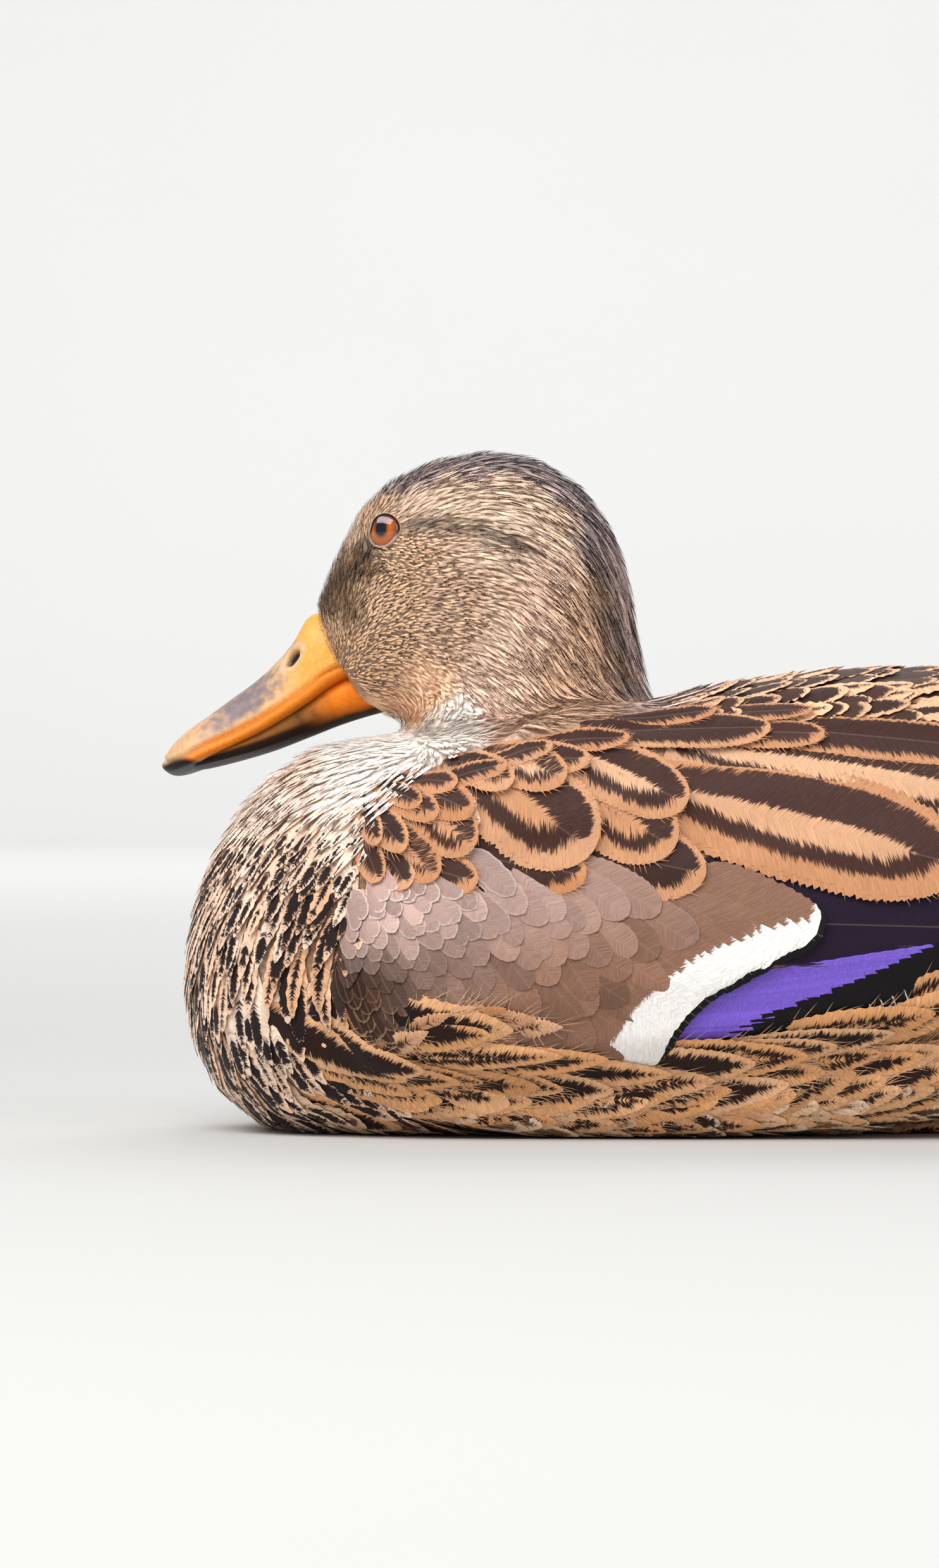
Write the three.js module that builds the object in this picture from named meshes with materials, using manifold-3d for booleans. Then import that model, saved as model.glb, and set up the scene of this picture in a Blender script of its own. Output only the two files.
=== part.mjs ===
// A resting female mallard at life size: millimetres, +Z up, bill towards -X, floor at Z = 0.
// The duck lies on its belly with its feet tucked under and its head up, turned a little to its right.
import * as THREE from "three";
import { mergeVertices } from "three/addons/utils/BufferGeometryUtils.js";
import Module from "manifold-3d";

const wasm = await Module();
wasm.setup();

// ---- Driving dimensions ----
const BILL_TIP_X = -170; // overall length runs from here ...
const TAIL_TIP_X = 170; // ... to here
const HEAD_YAW = THREE.MathUtils.degToRad(15); // the head's turn towards +Y
const NECK_AXIS_X = -80; // the upright axis that the head turns about
const GAP = 0.3; // clearance between touching pieces
const EYE_RADIUS = 6.2;
const EYE_FORWARD = 31.3; // eye centre ahead of the neck axis, along the head
const EYE_OFFSET = 14.6; // eye centre from the head's mid-plane
const EYE_HEIGHT = 147.5;
const WING_THICKNESS = 6.5;
const SCAPULAR_THICKNESS = 8;
const FLANK_THICKNESS = 5;
const CORE_HEIGHT = 52; // height of the line that the draped plumage is spread around
const TARSUS_RADIUS = 3.4;
const TOE_LENGTH = 46;
const LEG_OFFSET = 27; // leg from the mid-plane

const materials = {
  plumage: new THREE.MeshStandardMaterial({ color: 0xb08a62, roughness: 0.85, metalness: 0 }),
  face: new THREE.MeshStandardMaterial({ color: 0xc7a482, roughness: 0.85, metalness: 0 }),
  wing: new THREE.MeshStandardMaterial({ color: 0x86705f, roughness: 0.7, metalness: 0 }),
  flight: new THREE.MeshStandardMaterial({ color: 0x4a3d36, roughness: 0.6, metalness: 0 }),
  bill: new THREE.MeshStandardMaterial({ color: 0xd98a2e, roughness: 0.35, metalness: 0 }),
  eye: new THREE.MeshStandardMaterial({ color: 0x6b2e08, roughness: 0.05, metalness: 0 }),
  foot: new THREE.MeshStandardMaterial({ color: 0xd8701f, roughness: 0.55, metalness: 0 }),
};

// ---- Small tools ----
const V = (x, y, z) => new THREE.Vector3(x, y, z);
const mix = (a, b, t) => a + (b - a) * t;
const smooth = (a, b, x) => THREE.MathUtils.smoothstep(x, a, b);

// A smooth curve through hand-set values: stations is a list of equal-length rows, t runs over its indices.
function along(stations, t) {
  const i = Math.min(Math.floor(t), stations.length - 2);
  const f = t - i;
  const at = (k) => stations[THREE.MathUtils.clamp(k, 0, stations.length - 1)];
  return stations[0].map((_, k) => {
    const [a, b, c, d] = [at(i - 1)[k], at(i)[k], at(i + 1)[k], at(i + 2)[k]];
    const slope0 = (c - a) / 2;
    const slope1 = (d - b) / 2;
    const f2 = f * f;
    const f3 = f2 * f;
    const value = (2 * f3 - 3 * f2 + 1) * b + (3 * f2 - 2 * f3) * c;
    return value + (f3 - 2 * f2 + f) * slope0 + (f3 - f2) * slope1;
  });
}

// A solid from indexed points, with its faces turned outwards.
function solidFrom(points, triangles) {
  let volume = 0;
  for (const [a, b, c] of triangles) {
    volume += points[a].dot(V(0, 0, 0).crossVectors(points[b], points[c]));
  }
  const turned = volume < 0 ? triangles.map(([a, b, c]) => [a, c, b]) : triangles;
  const geometry = new THREE.BufferGeometry();
  geometry.setAttribute("position", new THREE.Float32BufferAttribute(points.flatMap((p) => p.toArray()), 3));
  geometry.setIndex(turned.flat());
  return solidOf(geometry);
}

// A closed three.js geometry as a manifold solid.
function solidOf(source) {
  const geometry = source.clone();
  geometry.deleteAttribute("normal");
  geometry.deleteAttribute("uv");
  const merged = mergeVertices(geometry, 1e-4);
  return new wasm.Manifold(
    new wasm.Mesh({
      numProp: 3,
      vertProperties: merged.attributes.position.array,
      triVerts: new Uint32Array(merged.index.array),
    }),
  );
}

// A manifold solid as a three.js geometry.
function geometryOf(solid) {
  const mesh = solid.getMesh();
  const positions = new Float32Array(mesh.numVert * 3);
  for (let i = 0; i < mesh.numVert; i++) {
    positions.set(mesh.vertProperties.subarray(i * mesh.numProp, i * mesh.numProp + 3), i * 3);
  }
  const geometry = new THREE.BufferGeometry();
  geometry.setAttribute("position", new THREE.BufferAttribute(positions, 3));
  geometry.setIndex(new THREE.BufferAttribute(mesh.triVerts, 1));
  geometry.computeVertexNormals();
  return geometry;
}

// A solid through rings of equal count, closed at both ends by a fan to each end ring's middle.
function loft(rings) {
  const count = rings[0].length;
  const points = rings.flat();
  const triangles = [];
  for (let r = 0; r + 1 < rings.length; r++) {
    for (let k = 0; k < count; k++) {
      const [a, b] = [r * count + k, r * count + ((k + 1) % count)];
      triangles.push([a, b, b + count], [a, b + count, a + count]);
    }
  }
  for (const [r, back] of [[0, true], [rings.length - 1, false]]) {
    const middle = rings[r].reduce((sum, p) => sum.add(p), V(0, 0, 0)).divideScalar(count);
    const hub = points.push(middle) - 1;
    for (let k = 0; k < count; k++) {
      const [a, b] = [r * count + k, r * count + ((k + 1) % count)];
      triangles.push(back ? [a, hub, b] : [a, b, hub]);
    }
  }
  return solidFrom(points, triangles);
}

// One ring between an upper point A and a lower point B of the mid-plane: half-width w, widest at a share m
// of the way down, with superellipse powers for the upper and lower halves. grow makes it that much larger.
function ring([ax, az, bx, bz, w, m, powerUp, powerLow], count, grow = 0) {
  const up = V(ax - bx, 0, az - bz);
  const height = up.length();
  up.normalize();
  const middle = V(mix(ax, bx, m), 0, mix(az, bz, m));
  return Array.from({ length: count }, (_, k) => {
    const angle = (2 * Math.PI * k) / count;
    const [c, s] = [Math.cos(angle), Math.sin(angle)];
    const power = 2 / (c > 0 ? powerUp : powerLow);
    const reach = (c > 0 ? m * height : (1 - m) * height) + grow;
    const rise = Math.sign(c) * Math.abs(c) ** power * reach;
    const side = Math.sign(s) * Math.abs(s) ** power * (w + grow);
    return middle.clone().addScaledVector(up, rise).add(V(0, side, 0));
  });
}

// Turns head points about the neck axis by the share of the head's yaw given, keeping the side outline.
function turned(p, share) {
  const yaw = HEAD_YAW * share;
  const forward = (p.x - NECK_AXIS_X) / Math.cos(yaw);
  return V(
    NECK_AXIS_X + forward * Math.cos(yaw) + p.y * Math.sin(yaw),
    -forward * Math.sin(yaw) + p.y * Math.cos(yaw),
    p.z,
  );
}

// ---- Head, neck and trunk: one body, its rings fanned round the throat, then round the nape ----
// [upper x, z, lower x, z, half-width, widest at, upper power, lower power]
const bodyStations = [
  [-132.0, 130.0, -118.2, 103.0, 11.5, 0.62, 2.2, 2.3], // round the bill's base
  [-128.7, 138.0, -115.8, 102.0, 15.0, 0.6, 2.1, 2.3],
  [-124.7, 146.2, -113.7, 101.7, 17.5, 0.56, 2.1, 2.3],
  [-120.3, 154.0, -111.9, 101.3, 19.0, 0.52, 2.2, 2.3], // eyes
  [-113.2, 160.8, -110.5, 100.8, 20.0, 0.5, 2.3, 2.2],
  [-102.5, 165.7, -109.5, 100.3, 21.2, 0.48, 2.3, 2.2],
  [-90.0, 167.8, -108.9, 99.6, 22.5, 0.47, 2.2, 2.2], // crown
  [-77.8, 165.9, -108.6, 99.1, 23.5, 0.46, 2.2, 2.1],
  [-67.3, 159.2, -108.5, 98.7, 24.3, 0.46, 2.1, 2.1],
  [-60.3, 149.8, -108.7, 98.3, 25.2, 0.47, 2.0, 2.1],
  [-56.4, 139.7, -109.2, 97.9, 26.2, 0.48, 2.0, 2.1], // nape
  [-54.0, 130.3, -110.2, 97.6, 27.5, 0.49, 2.0, 2.1],
  [-52.2, 119.4, -112.6, 97.3, 29.8, 0.5, 2.0, 2.1],
  [-50.2, 111.0, -117.5, 96.8, 33.0, 0.5, 2.0, 2.1], // base of the neck
  [-48.5, 105.6, -125.6, 96.0, 38.0, 0.5, 2.0, 2.1],
  [-47.5, 104.0, -135.6, 93.8, 43.5, 0.5, 2.1, 2.1],
  [-46.5, 103.8, -144.6, 87.6, 48.5, 0.49, 2.1, 2.1],
  [-45.2, 104.0, -151.9, 79.0, 52.5, 0.48, 2.2, 2.1],
  [-43.6, 104.4, -157.8, 68.6, 55.5, 0.48, 2.2, 2.1],
  [-41.5, 104.9, -162.2, 57.0, 57.5, 0.48, 2.2, 2.1], // breast
  [-38.8, 105.7, -164.7, 44.8, 59.0, 0.48, 2.2, 2.2],
  [-35.3, 106.7, -165.0, 32.4, 60.0, 0.49, 2.2, 2.2],
  [-30.8, 108.0, -162.6, 20.4, 61.0, 0.5, 2.3, 2.3],
  [-25.0, 109.5, -157.0, 9.6, 61.5, 0.51, 2.3, 2.4],
  [-17.5, 111.0, -146.0, 0.8, 62.0, 0.52, 2.3, 2.5],
  [-8.0, 112.2, -124.0, -4.0, 62.5, 0.54, 2.3, 2.6],
  [4.0, 113.0, -92.0, -5.5, 63.0, 0.55, 2.3, 2.6],
  [19.0, 113.2, -52.0, -6.0, 63.5, 0.56, 2.3, 2.6],
  [37.0, 112.3, -8.0, -5.0, 63.0, 0.57, 2.3, 2.5],
  [57.0, 109.8, 32.0, -1.0, 60.5, 0.56, 2.3, 2.3],
  [78.0, 105.6, 64.0, 7.0, 55.5, 0.54, 2.2, 2.2],
  [98.0, 100.5, 90.0, 18.5, 49.0, 0.5, 2.2, 2.1], // vent
  [115.0, 95.6, 110.0, 31.0, 42.0, 0.46, 2.2, 2.0],
  [129.0, 91.4, 126.0, 45.0, 35.0, 0.4, 2.3, 2.0],
  [141.0, 88.0, 139.5, 58.0, 29.0, 0.34, 2.4, 2.0],
  [150.0, 85.4, 149.4, 70.0, 22.0, 0.34, 2.4, 2.0], // tail coverts
];
const BODY_SIDES = 24;
const NECK_END = 14; // stations from here on aren't turned with the head
const HEAD_END = 10; // stations up to here turn with it in full
const NECK_START = 11; // the station where the head piece ends and the neck piece starts
const TRUNK_START = 14; // and where the trunk starts

function bodyRings(from, to, grow = 0) {
  return bodyStations.slice(from, to + 1).map((row, i) => {
    const share = 1 - smooth(HEAD_END, NECK_END, from + i);
    return ring(row, BODY_SIDES, grow).map((p) => turned(p, share));
  });
}

const lastStation = bodyStations.length - 1;
const body = loft(bodyRings(0, lastStation)).trimByPlane([0, 0, 1], 0);

// The trunk, a little larger than life, to cut what lies on it.
const trunkCutter = loft(bodyRings(TRUNK_START - 1, lastStation, GAP));

// A thin slab in the plane of the ring at a station, which parts the pieces on its two sides.
function slabAt(station) {
  const [rim] = bodyRings(station, station + 1, 3);
  const [a, b, c] = [rim[0], rim[Math.round(BODY_SIDES / 3)], rim[Math.round((2 * BODY_SIDES) / 3)]];
  const normal = b.clone().sub(a).cross(c.clone().sub(a)).normalize();
  return loft([-GAP / 2, GAP / 2].map((shift) => rim.map((p) => p.clone().addScaledVector(normal, shift))));
}
// The body between two stations, less half a gap at each cut.
function bodySection(from, to) {
  const cuts = [from, to].filter((station) => station > 0 && station < lastStation);
  return cuts.reduce((solid, station) => solid.subtract(slabAt(station)), loft(bodyRings(from, to)));
}

// ---- Bill ----
// The same ring form, from inside the face to the tip: culmen to palate, then mouth floor to chin.
const upperBillStations = [
  [-128.5, 127.5, -121.2, 111.6, 9.6, 0.75, 2.3, 2.4],
  [-133.6, 126.9, -126.6, 108.9, 10.4, 0.8, 2.3, 2.4],
  [-137.4, 120.6, -131.9, 104.9, 10.6, 0.82, 2.4, 2.4],
  [-141.9, 115.3, -137.6, 101.2, 10.4, 0.82, 2.4, 2.4],
  [-147.2, 110.5, -143.8, 97.5, 10.2, 0.82, 2.4, 2.4],
  [-153.0, 106.3, -150.2, 94.2, 10.5, 0.81, 2.4, 2.3],
  [-158.8, 102.0, -156.6, 91.3, 11.2, 0.79, 2.4, 2.3],
  [-163.8, 98.5, -162.2, 88.4, 11.2, 0.75, 2.3, 2.2],
  [-167.4, 95.2, -166.6, 87.0, 8.8, 0.65, 2.1, 2.1],
  [-169.3, 92.4, -169.0, 87.6, 5.2, 0.55, 2.0, 2.0],
];
const lowerBillStations = [
  [-117.5, 108.5, -115.0, 103.4, 8.8, 0.35, 2.3, 2.0],
  [-121.8, 107.2, -119.6, 101.9, 9.4, 0.35, 2.3, 2.0],
  [-128.4, 104.0, -126.8, 99.6, 9.4, 0.35, 2.3, 2.0],
  [-136.4, 99.7, -135.0, 96.4, 9.2, 0.35, 2.3, 2.0],
  [-144.4, 96.0, -143.4, 93.2, 9.2, 0.35, 2.3, 2.0],
  [-152.6, 92.9, -151.8, 90.6, 9.6, 0.35, 2.2, 2.0],
  [-160.0, 90.6, -159.6, 88.6, 8.6, 0.35, 2.1, 2.0],
  [-163.6, 89.4, -163.4, 88.2, 5.5, 0.4, 2.0, 2.0],
];
const BILL_SIDES = 16;
function billLoft(stations, grow = 0) {
  return loft(stations.map((row) => ring(row, BILL_SIDES, grow).map((p) => turned(p, 1))));
}
// Moves the bill along X so that its tip, whatever the turn, is at the overall length's end.
const rawUpper = billLoft(upperBillStations);
const tipShift = BILL_TIP_X - rawUpper.boundingBox().min[0];
const shifted = (solid) => solid.translate([tipShift, 0, 0]);
const upperBill = shifted(rawUpper);
const lowerBill = shifted(billLoft(lowerBillStations)).subtract(shifted(billLoft(upperBillStations, GAP)));

// ---- Eyes ----
function eyeAt(side, grow = 0) {
  const ball = new THREE.SphereGeometry(EYE_RADIUS + grow, 14, 9);
  const centre = turned(V(NECK_AXIS_X - EYE_FORWARD * Math.cos(HEAD_YAW), side * EYE_OFFSET, EYE_HEIGHT), 1);
  return solidOf(ball).translate(centre.toArray());
}

// ---- Plumage draped over the trunk: wings, scapulars and flanks ----
const skinMesh = new THREE.Mesh(
  geometryOf(body),
  new THREE.MeshBasicMaterial({ side: THREE.DoubleSide }),
);
const caster = new THREE.Raycaster();
// The point where the body's surface meets a ray from its core line at x, at an angle above the horizontal.
function surfaceAt(x, angle, side) {
  const direction = V(0, side * Math.cos(angle), Math.sin(angle));
  caster.set(V(x, 0, CORE_HEIGHT).addScaledVector(direction, 200), direction.clone().negate());
  const hit = caster.intersectObject(skinMesh)[0];
  return { point: hit.point, direction };
}
const rad = THREE.MathUtils.degToRad;

// A closed plate over the body, thick in its middle, thin at its edges, its inner face sunk in the body.
// rows: [x, lowest angle, highest angle, share of the full thickness].
const PLATE_STEPS = 14;
const PLATE_ACROSS = 6;
const PLATE_EDGE = 0.12; // the edge's share of the thickness
const PLATE_SINK = 3;
function drape(rows, thickness, side, grow = 0) {
  const outer = [];
  const inner = [];
  for (let i = 0; i <= PLATE_STEPS; i++) {
    const [x, low, high, share] = along(rows, (i / PLATE_STEPS) * (rows.length - 1));
    for (let j = 0; j <= PLATE_ACROSS; j++) {
      const u = j / PLATE_ACROSS;
      const { point, direction } = surfaceAt(x, rad(mix(low, high, u)), side);
      const crown = mix(PLATE_EDGE, 1, 1 - Math.abs(2 * u - 1) ** 3);
      outer.push(point.clone().addScaledVector(direction, thickness * share * crown + grow));
      inner.push(point.clone().addScaledVector(direction, -PLATE_SINK));
    }
  }
  const wide = PLATE_ACROSS + 1;
  const points = [...outer, ...inner];
  const half = outer.length;
  const triangles = [];
  const quad = (a, b, c, d) => triangles.push([a, b, c], [a, c, d]);
  for (let i = 0; i < PLATE_STEPS; i++) {
    for (let j = 0; j < PLATE_ACROSS; j++) {
      const a = i * wide + j;
      quad(a, a + 1, a + wide + 1, a + wide);
      quad(half + a, half + a + wide, half + a + wide + 1, half + a + 1);
    }
    const [low, high] = [i * wide, i * wide + PLATE_ACROSS];
    quad(low, low + wide, half + low + wide, half + low);
    quad(high + wide, high, half + high, half + high + wide);
  }
  for (let j = 0; j < PLATE_ACROSS; j++) {
    const last = PLATE_STEPS * wide + j;
    quad(j + 1, j, half + j, half + j + 1);
    quad(last, last + 1, half + last + 1, half + last);
  }
  return solidFrom(points, triangles);
}

const wingRows = [
  [-128, -18, -7, 0.3],
  [-122, -33, 5, 0.7],
  [-108, -38, 20, 0.95],
  [-80, -37, 30, 1],
  [-45, -34, 36, 1],
  [-8, -31, 40, 1],
  [30, -27, 42, 0.95],
  [62, -16, 44, 0.85],
  [88, 4, 46, 0.7],
  [106, 22, 46, 0.45],
];
const scapularRows = [
  [-119, 15, 27, 0.2],
  [-109, 7, 33, 0.45],
  [-92, 4, 44, 0.75],
  [-72, 4, 58, 0.9],
  [-45, 5, 72, 1],
  [-10, 6, 78, 1],
  [25, 8, 78, 1],
  [58, 17, 77, 0.85],
  [85, 30, 74, 0.6],
  [104, 44, 68, 0.3],
];
const flankRows = [
  [-112, -48, -42, 0.4],
  [-95, -52, -40, 0.8],
  [-60, -52, -36, 1],
  [-20, -52, -33, 1],
  [20, -51, -29, 1],
  [55, -48, -19, 0.9],
  [85, -42, -2, 0.6],
  [105, -34, 12, 0.35],
];

// ---- Flight feathers and tail: flat blades through rings ----
// rows: [x, y, z, half-width, half-thickness, roll in degrees]
function blade(rows, sides, stepsPerRow = 1) {
  const steps = (rows.length - 1) * stepsPerRow;
  const rings = Array.from({ length: steps + 1 }, (_, i) => {
    const [x, y, z, width, thick, roll] = along(rows, i / stepsPerRow);
    const across = V(0, Math.cos(rad(roll)), Math.sin(rad(roll)));
    const up = V(0, -Math.sin(rad(roll)), Math.cos(rad(roll)));
    return Array.from({ length: sides }, (_, k) => {
      const angle = (2 * Math.PI * k) / sides;
      return V(x, y, z)
        .addScaledVector(across, width * Math.cos(angle))
        .addScaledVector(up, thick * Math.sin(angle));
    });
  });
  return loft(rings);
}

const tail = blade(
  [
    [112, 0, 82, 26, 8, 0],
    [128, 0, 82.5, 32, 6, 0],
    [143, 0, 82.2, 37, 3.8, 0],
    [156, 0, 81.4, 36, 2.4, 0],
    [165, 0, 80.8, 25, 1.6, 0],
    [TAIL_TIP_X, 0, 80.4, 9, 1, 0],
  ],
  16,
);

function primaries(side) {
  return blade(
    [
      [54, side * 50, 85, 11, 3.4, side * -58],
      [80, side * 38.5, 92.5, 13, 3.4, side * -44],
      [106, side * 24.5, 97, 11.5, 2.8, side * -28],
      [128, side * 13.5, 97.5, 7.5, 2, side * -18],
      [144, side * 6.5, 96.5, 2.6, 1, side * -12],
    ],
    8,
    2,
  );
}

// ---- Legs: shank flat on the floor, toes forward with webs between them ----
function leg(side, grow = 0) {
  const heel = V(24, side * (LEG_OFFSET + 3), 0);
  const foot = V(-20, side * LEG_OFFSET, 0);
  const shank = blade(
    [
      [heel.x + 3 + grow, heel.y, TARSUS_RADIUS, 1.5 + grow, 1.5 + grow, 0],
      [heel.x, heel.y, TARSUS_RADIUS, 4.4 + grow, TARSUS_RADIUS + grow, 0],
      [heel.x - 8, mix(heel.y, foot.y, 0.2), TARSUS_RADIUS, 3.6 + grow, TARSUS_RADIUS + grow, 0],
      [foot.x + 6, mix(heel.y, foot.y, 0.9), TARSUS_RADIUS, 3.6 + grow, TARSUS_RADIUS + grow, 0],
      [foot.x, foot.y, TARSUS_RADIUS, 5 + grow, TARSUS_RADIUS + grow, 0],
      [foot.x - 5 - grow, foot.y, TARSUS_RADIUS, 4 + grow, 2.4 + grow, 0],
    ],
    8,
  );
  const spread = [-24, 0, 22]; // degrees from straight ahead, inner to outer
  const lengths = [0.86, 1, 0.92];
  const tips = spread.map((turn, i) => {
    const angle = rad(turn) * side;
    return V(
      foot.x - (TOE_LENGTH * lengths[i] + 2 * grow) * Math.cos(angle),
      foot.y + (TOE_LENGTH * lengths[i] + 2 * grow) * Math.sin(angle),
      0,
    );
  });
  const toes = tips.map((tip) => {
    const turn = Math.atan2(tip.y - foot.y, foot.x - tip.x);
    const rows = [
      [0, 0, 2.6, 3 + grow, 2.6 + grow, 0],
      [-0.35, 0, 2.4, 2.6 + grow, 2.4 + grow, 0],
      [-0.8, 0, 2, 2.2 + grow, 2 + grow, 0],
      [-1, 0, 1.5, 1 + grow, 1 + grow, 0],
    ].map(([share, ...rest]) => [share * (foot.distanceTo(tip) + grow), ...rest]);
    return blade(rows, 6).rotate([0, 0, -THREE.MathUtils.radToDeg(turn)]).translate(foot.toArray());
  });
  // The web: a thin sheet whose front edge curves back between the toes.
  const web = new THREE.Shape();
  web.moveTo(foot.x, foot.y);
  web.lineTo(tips[0].x, tips[0].y);
  for (const [from, to] of [[tips[0], tips[1]], [tips[1], tips[2]]]) {
    const back = from.clone().lerp(to, 0.5).lerp(foot, 0.16);
    web.quadraticCurveTo(back.x, back.y, to.x, to.y);
  }
  web.closePath();
  const sheet = new THREE.ExtrudeGeometry(web, { depth: 1.4 + grow, bevelEnabled: false, curveSegments: 3 });
  return [...toes, solidOf(sheet)].reduce((sum, s) => sum.add(s), shank).trimByPlane([0, 0, 1], -grow);
}

// ---- Assembly ----
const group = new THREE.Group();
function addPiece(name, solid, material) {
  const mesh = new THREE.Mesh(geometryOf(solid), material);
  mesh.name = name;
  group.add(mesh);
}
// The largest single piece of a solid, without slivers that a cut leaves.
function mainPiece(solid) {
  return solid.decompose().reduce((best, s) => (s.volume() > best.volume() ? s : best));
}
const cut = (solid, ...cutters) => mainPiece(cutters.reduce((left, c) => left.subtract(c), solid));

const eyeHoles = [-1, 1].map((side) => eyeAt(side, GAP));
const billHoles = [
  shifted(billLoft(upperBillStations, GAP)),
  shifted(billLoft(lowerBillStations, GAP)),
];
const head = cut(bodySection(0, NECK_START), ...eyeHoles, ...billHoles);
const neck = mainPiece(bodySection(NECK_START, TRUNK_START));
const legHoles = [-1, 1].map((side) => leg(side, 2 * GAP));
const trunk = cut(bodySection(TRUNK_START, lastStation).trimByPlane([0, 0, 1], 0), ...legHoles);

addPiece("head", head, materials.face);
addPiece("upper_bill", upperBill, materials.bill);
addPiece("lower_bill", cut(lowerBill), materials.bill);
addPiece("neck", neck, materials.face);
addPiece("trunk", trunk, materials.plumage);
addPiece("tail", cut(tail, trunkCutter), materials.plumage);
const neckCutter = loft(bodyRings(0, TRUNK_START + 3, GAP));
for (const [name, side] of [["left", -1], ["right", 1]]) {
  const wingCutter = drape(wingRows, WING_THICKNESS, side, GAP);
  const scapularCutter = drape(scapularRows, SCAPULAR_THICKNESS, side, GAP);
  const wing = cut(drape(wingRows, WING_THICKNESS, side), trunkCutter);
  const scapulars = cut(drape(scapularRows, SCAPULAR_THICKNESS, side), trunkCutter, neckCutter, wingCutter);
  const flank = cut(drape(flankRows, FLANK_THICKNESS, side), trunkCutter, wingCutter, ...legHoles);
  const wingTip = cut(primaries(side), trunkCutter, wingCutter, scapularCutter);
  addPiece("eye_" + name, eyeAt(side), materials.eye);
  addPiece("wing_" + name, wing, materials.wing);
  addPiece("scapulars_" + name, scapulars, materials.plumage);
  addPiece("flank_" + name, flank.trimByPlane([0, 0, 1], 0), materials.plumage);
  addPiece("leg_" + name, leg(side), materials.foot);
  addPiece("primaries_" + name, wingTip, materials.flight);
}

export default group;
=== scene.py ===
# A resting female mallard: one skin with a coat of feather vanes over it, bill, eyes and feet, at life size.
import math

import bmesh
import bpy
import numpy as np
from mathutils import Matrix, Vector
from mathutils.bvhtree import BVHTree
from mathutils.kdtree import KDTree


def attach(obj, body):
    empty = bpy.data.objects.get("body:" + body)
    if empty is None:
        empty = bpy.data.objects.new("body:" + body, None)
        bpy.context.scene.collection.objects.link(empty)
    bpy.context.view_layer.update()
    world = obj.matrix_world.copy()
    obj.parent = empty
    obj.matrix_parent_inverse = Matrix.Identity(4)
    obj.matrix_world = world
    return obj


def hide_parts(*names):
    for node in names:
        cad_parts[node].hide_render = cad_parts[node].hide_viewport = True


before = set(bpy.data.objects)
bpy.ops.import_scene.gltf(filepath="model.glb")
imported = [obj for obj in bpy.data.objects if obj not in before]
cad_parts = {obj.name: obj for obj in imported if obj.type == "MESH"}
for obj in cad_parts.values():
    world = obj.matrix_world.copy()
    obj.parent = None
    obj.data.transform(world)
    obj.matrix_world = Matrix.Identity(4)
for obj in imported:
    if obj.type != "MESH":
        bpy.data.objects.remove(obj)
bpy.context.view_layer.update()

rng = np.random.default_rng(11)
MM = 0.001  # the shapes below are worked out in millimetres

# ---- Camera: level with the bird's eye, far away, looking along +Y ----
CAMERA = np.array([-94.4, -2000.0, 104.5])
AIM = np.array([-94.4, 0.0, 85.2])
FRAME_SIZE = (1484, 2478)
FOCAL = 12800.0  # focal length in the frame's pixels
SENSOR = 36  # width of the camera's sensor in mm
camera = bpy.data.objects.new("camera", bpy.data.cameras.new("camera"))
bpy.context.collection.objects.link(camera)
camera.location = Vector(CAMERA * MM)
camera.rotation_mode = "QUATERNION"
camera.rotation_quaternion = Vector(AIM - CAMERA).to_track_quat("-Z", "Y")
camera.data.sensor_width = SENSOR
camera.data.lens = SENSOR * FOCAL / FRAME_SIZE[1]
camera.data.clip_start, camera.data.clip_end = 0.1, 30
bpy.context.scene.camera = camera
LOOK = (AIM - CAMERA) / np.linalg.norm(AIM - CAMERA)
RIGHT = np.array([1.0, 0.0, 0.0])
UP = np.cross(RIGHT, LOOK)


# ---- Vectors ----
def unit(a):
    return a / np.maximum(np.linalg.norm(a, axis=-1, keepdims=True), 1e-9)


def dots(a, b):
    return np.sum(a * b, axis=-1, keepdims=True)


def step(low, high, x):
    t = np.clip((x - low) / (high - low), 0, 1)
    return t * t * (3 - 2 * t)


def mixed(a, b, t):
    return a + (b - a) * t


def linear(rgb):
    c = np.asarray(rgb, float)
    return np.where(c <= 0.04045, c / 12.92, ((c + 0.055) / 1.055) ** 2.4)


# ---- The head's turn ----
YAW = math.radians(15)
NECK_AXIS_X = -80.0
THROAT_X, THROAT_Z = -112, 97  # the turn fades out about this place, between two directions in degrees
TURN_FADE = (7, 38)


def head_share(p):
    """How far a point turns with the head: 1 on the head, 0 on the trunk."""
    angle = np.degrees(np.arctan2(p[..., 2] - THROAT_Z, p[..., 0] - THROAT_X))
    return np.where(p[..., 2] < THROAT_Z, 0, step(*TURN_FADE, angle))


def turned(p, share, sign=1.0):
    """Turns head points about the neck axis, keeping the side outline. sign -1 turns them back."""
    yaw = YAW * share
    x, y, z = p[..., 0] - NECK_AXIS_X, p[..., 1], p[..., 2]
    c, s = np.cos(yaw), np.sin(yaw)
    if sign > 0:
        return np.stack([NECK_AXIS_X + x + y * s, -x * np.tan(yaw) + y * c, z], -1)
    return np.stack([NECK_AXIS_X + c * (x * c - y * s), x * s + y * c, z], -1)


def seen(still, share):
    """The camera's frame places of points before the head's turn, or of their mirrors on the left."""
    left = still.copy()
    left[..., 1] = -np.abs(left[..., 1])
    rel = turned(left, share) - CAMERA
    place = np.stack([rel @ RIGHT, -(rel @ UP)], -1) * FOCAL / (rel @ LOOK)[..., None]
    return place + np.array(FRAME_SIZE) / 2


def frame_place(p):
    """Where the camera's frame shows a surface point, or its mirror on the left side of the bird."""
    share = head_share(p)
    return seen(turned(p, share, -1), share)


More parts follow.
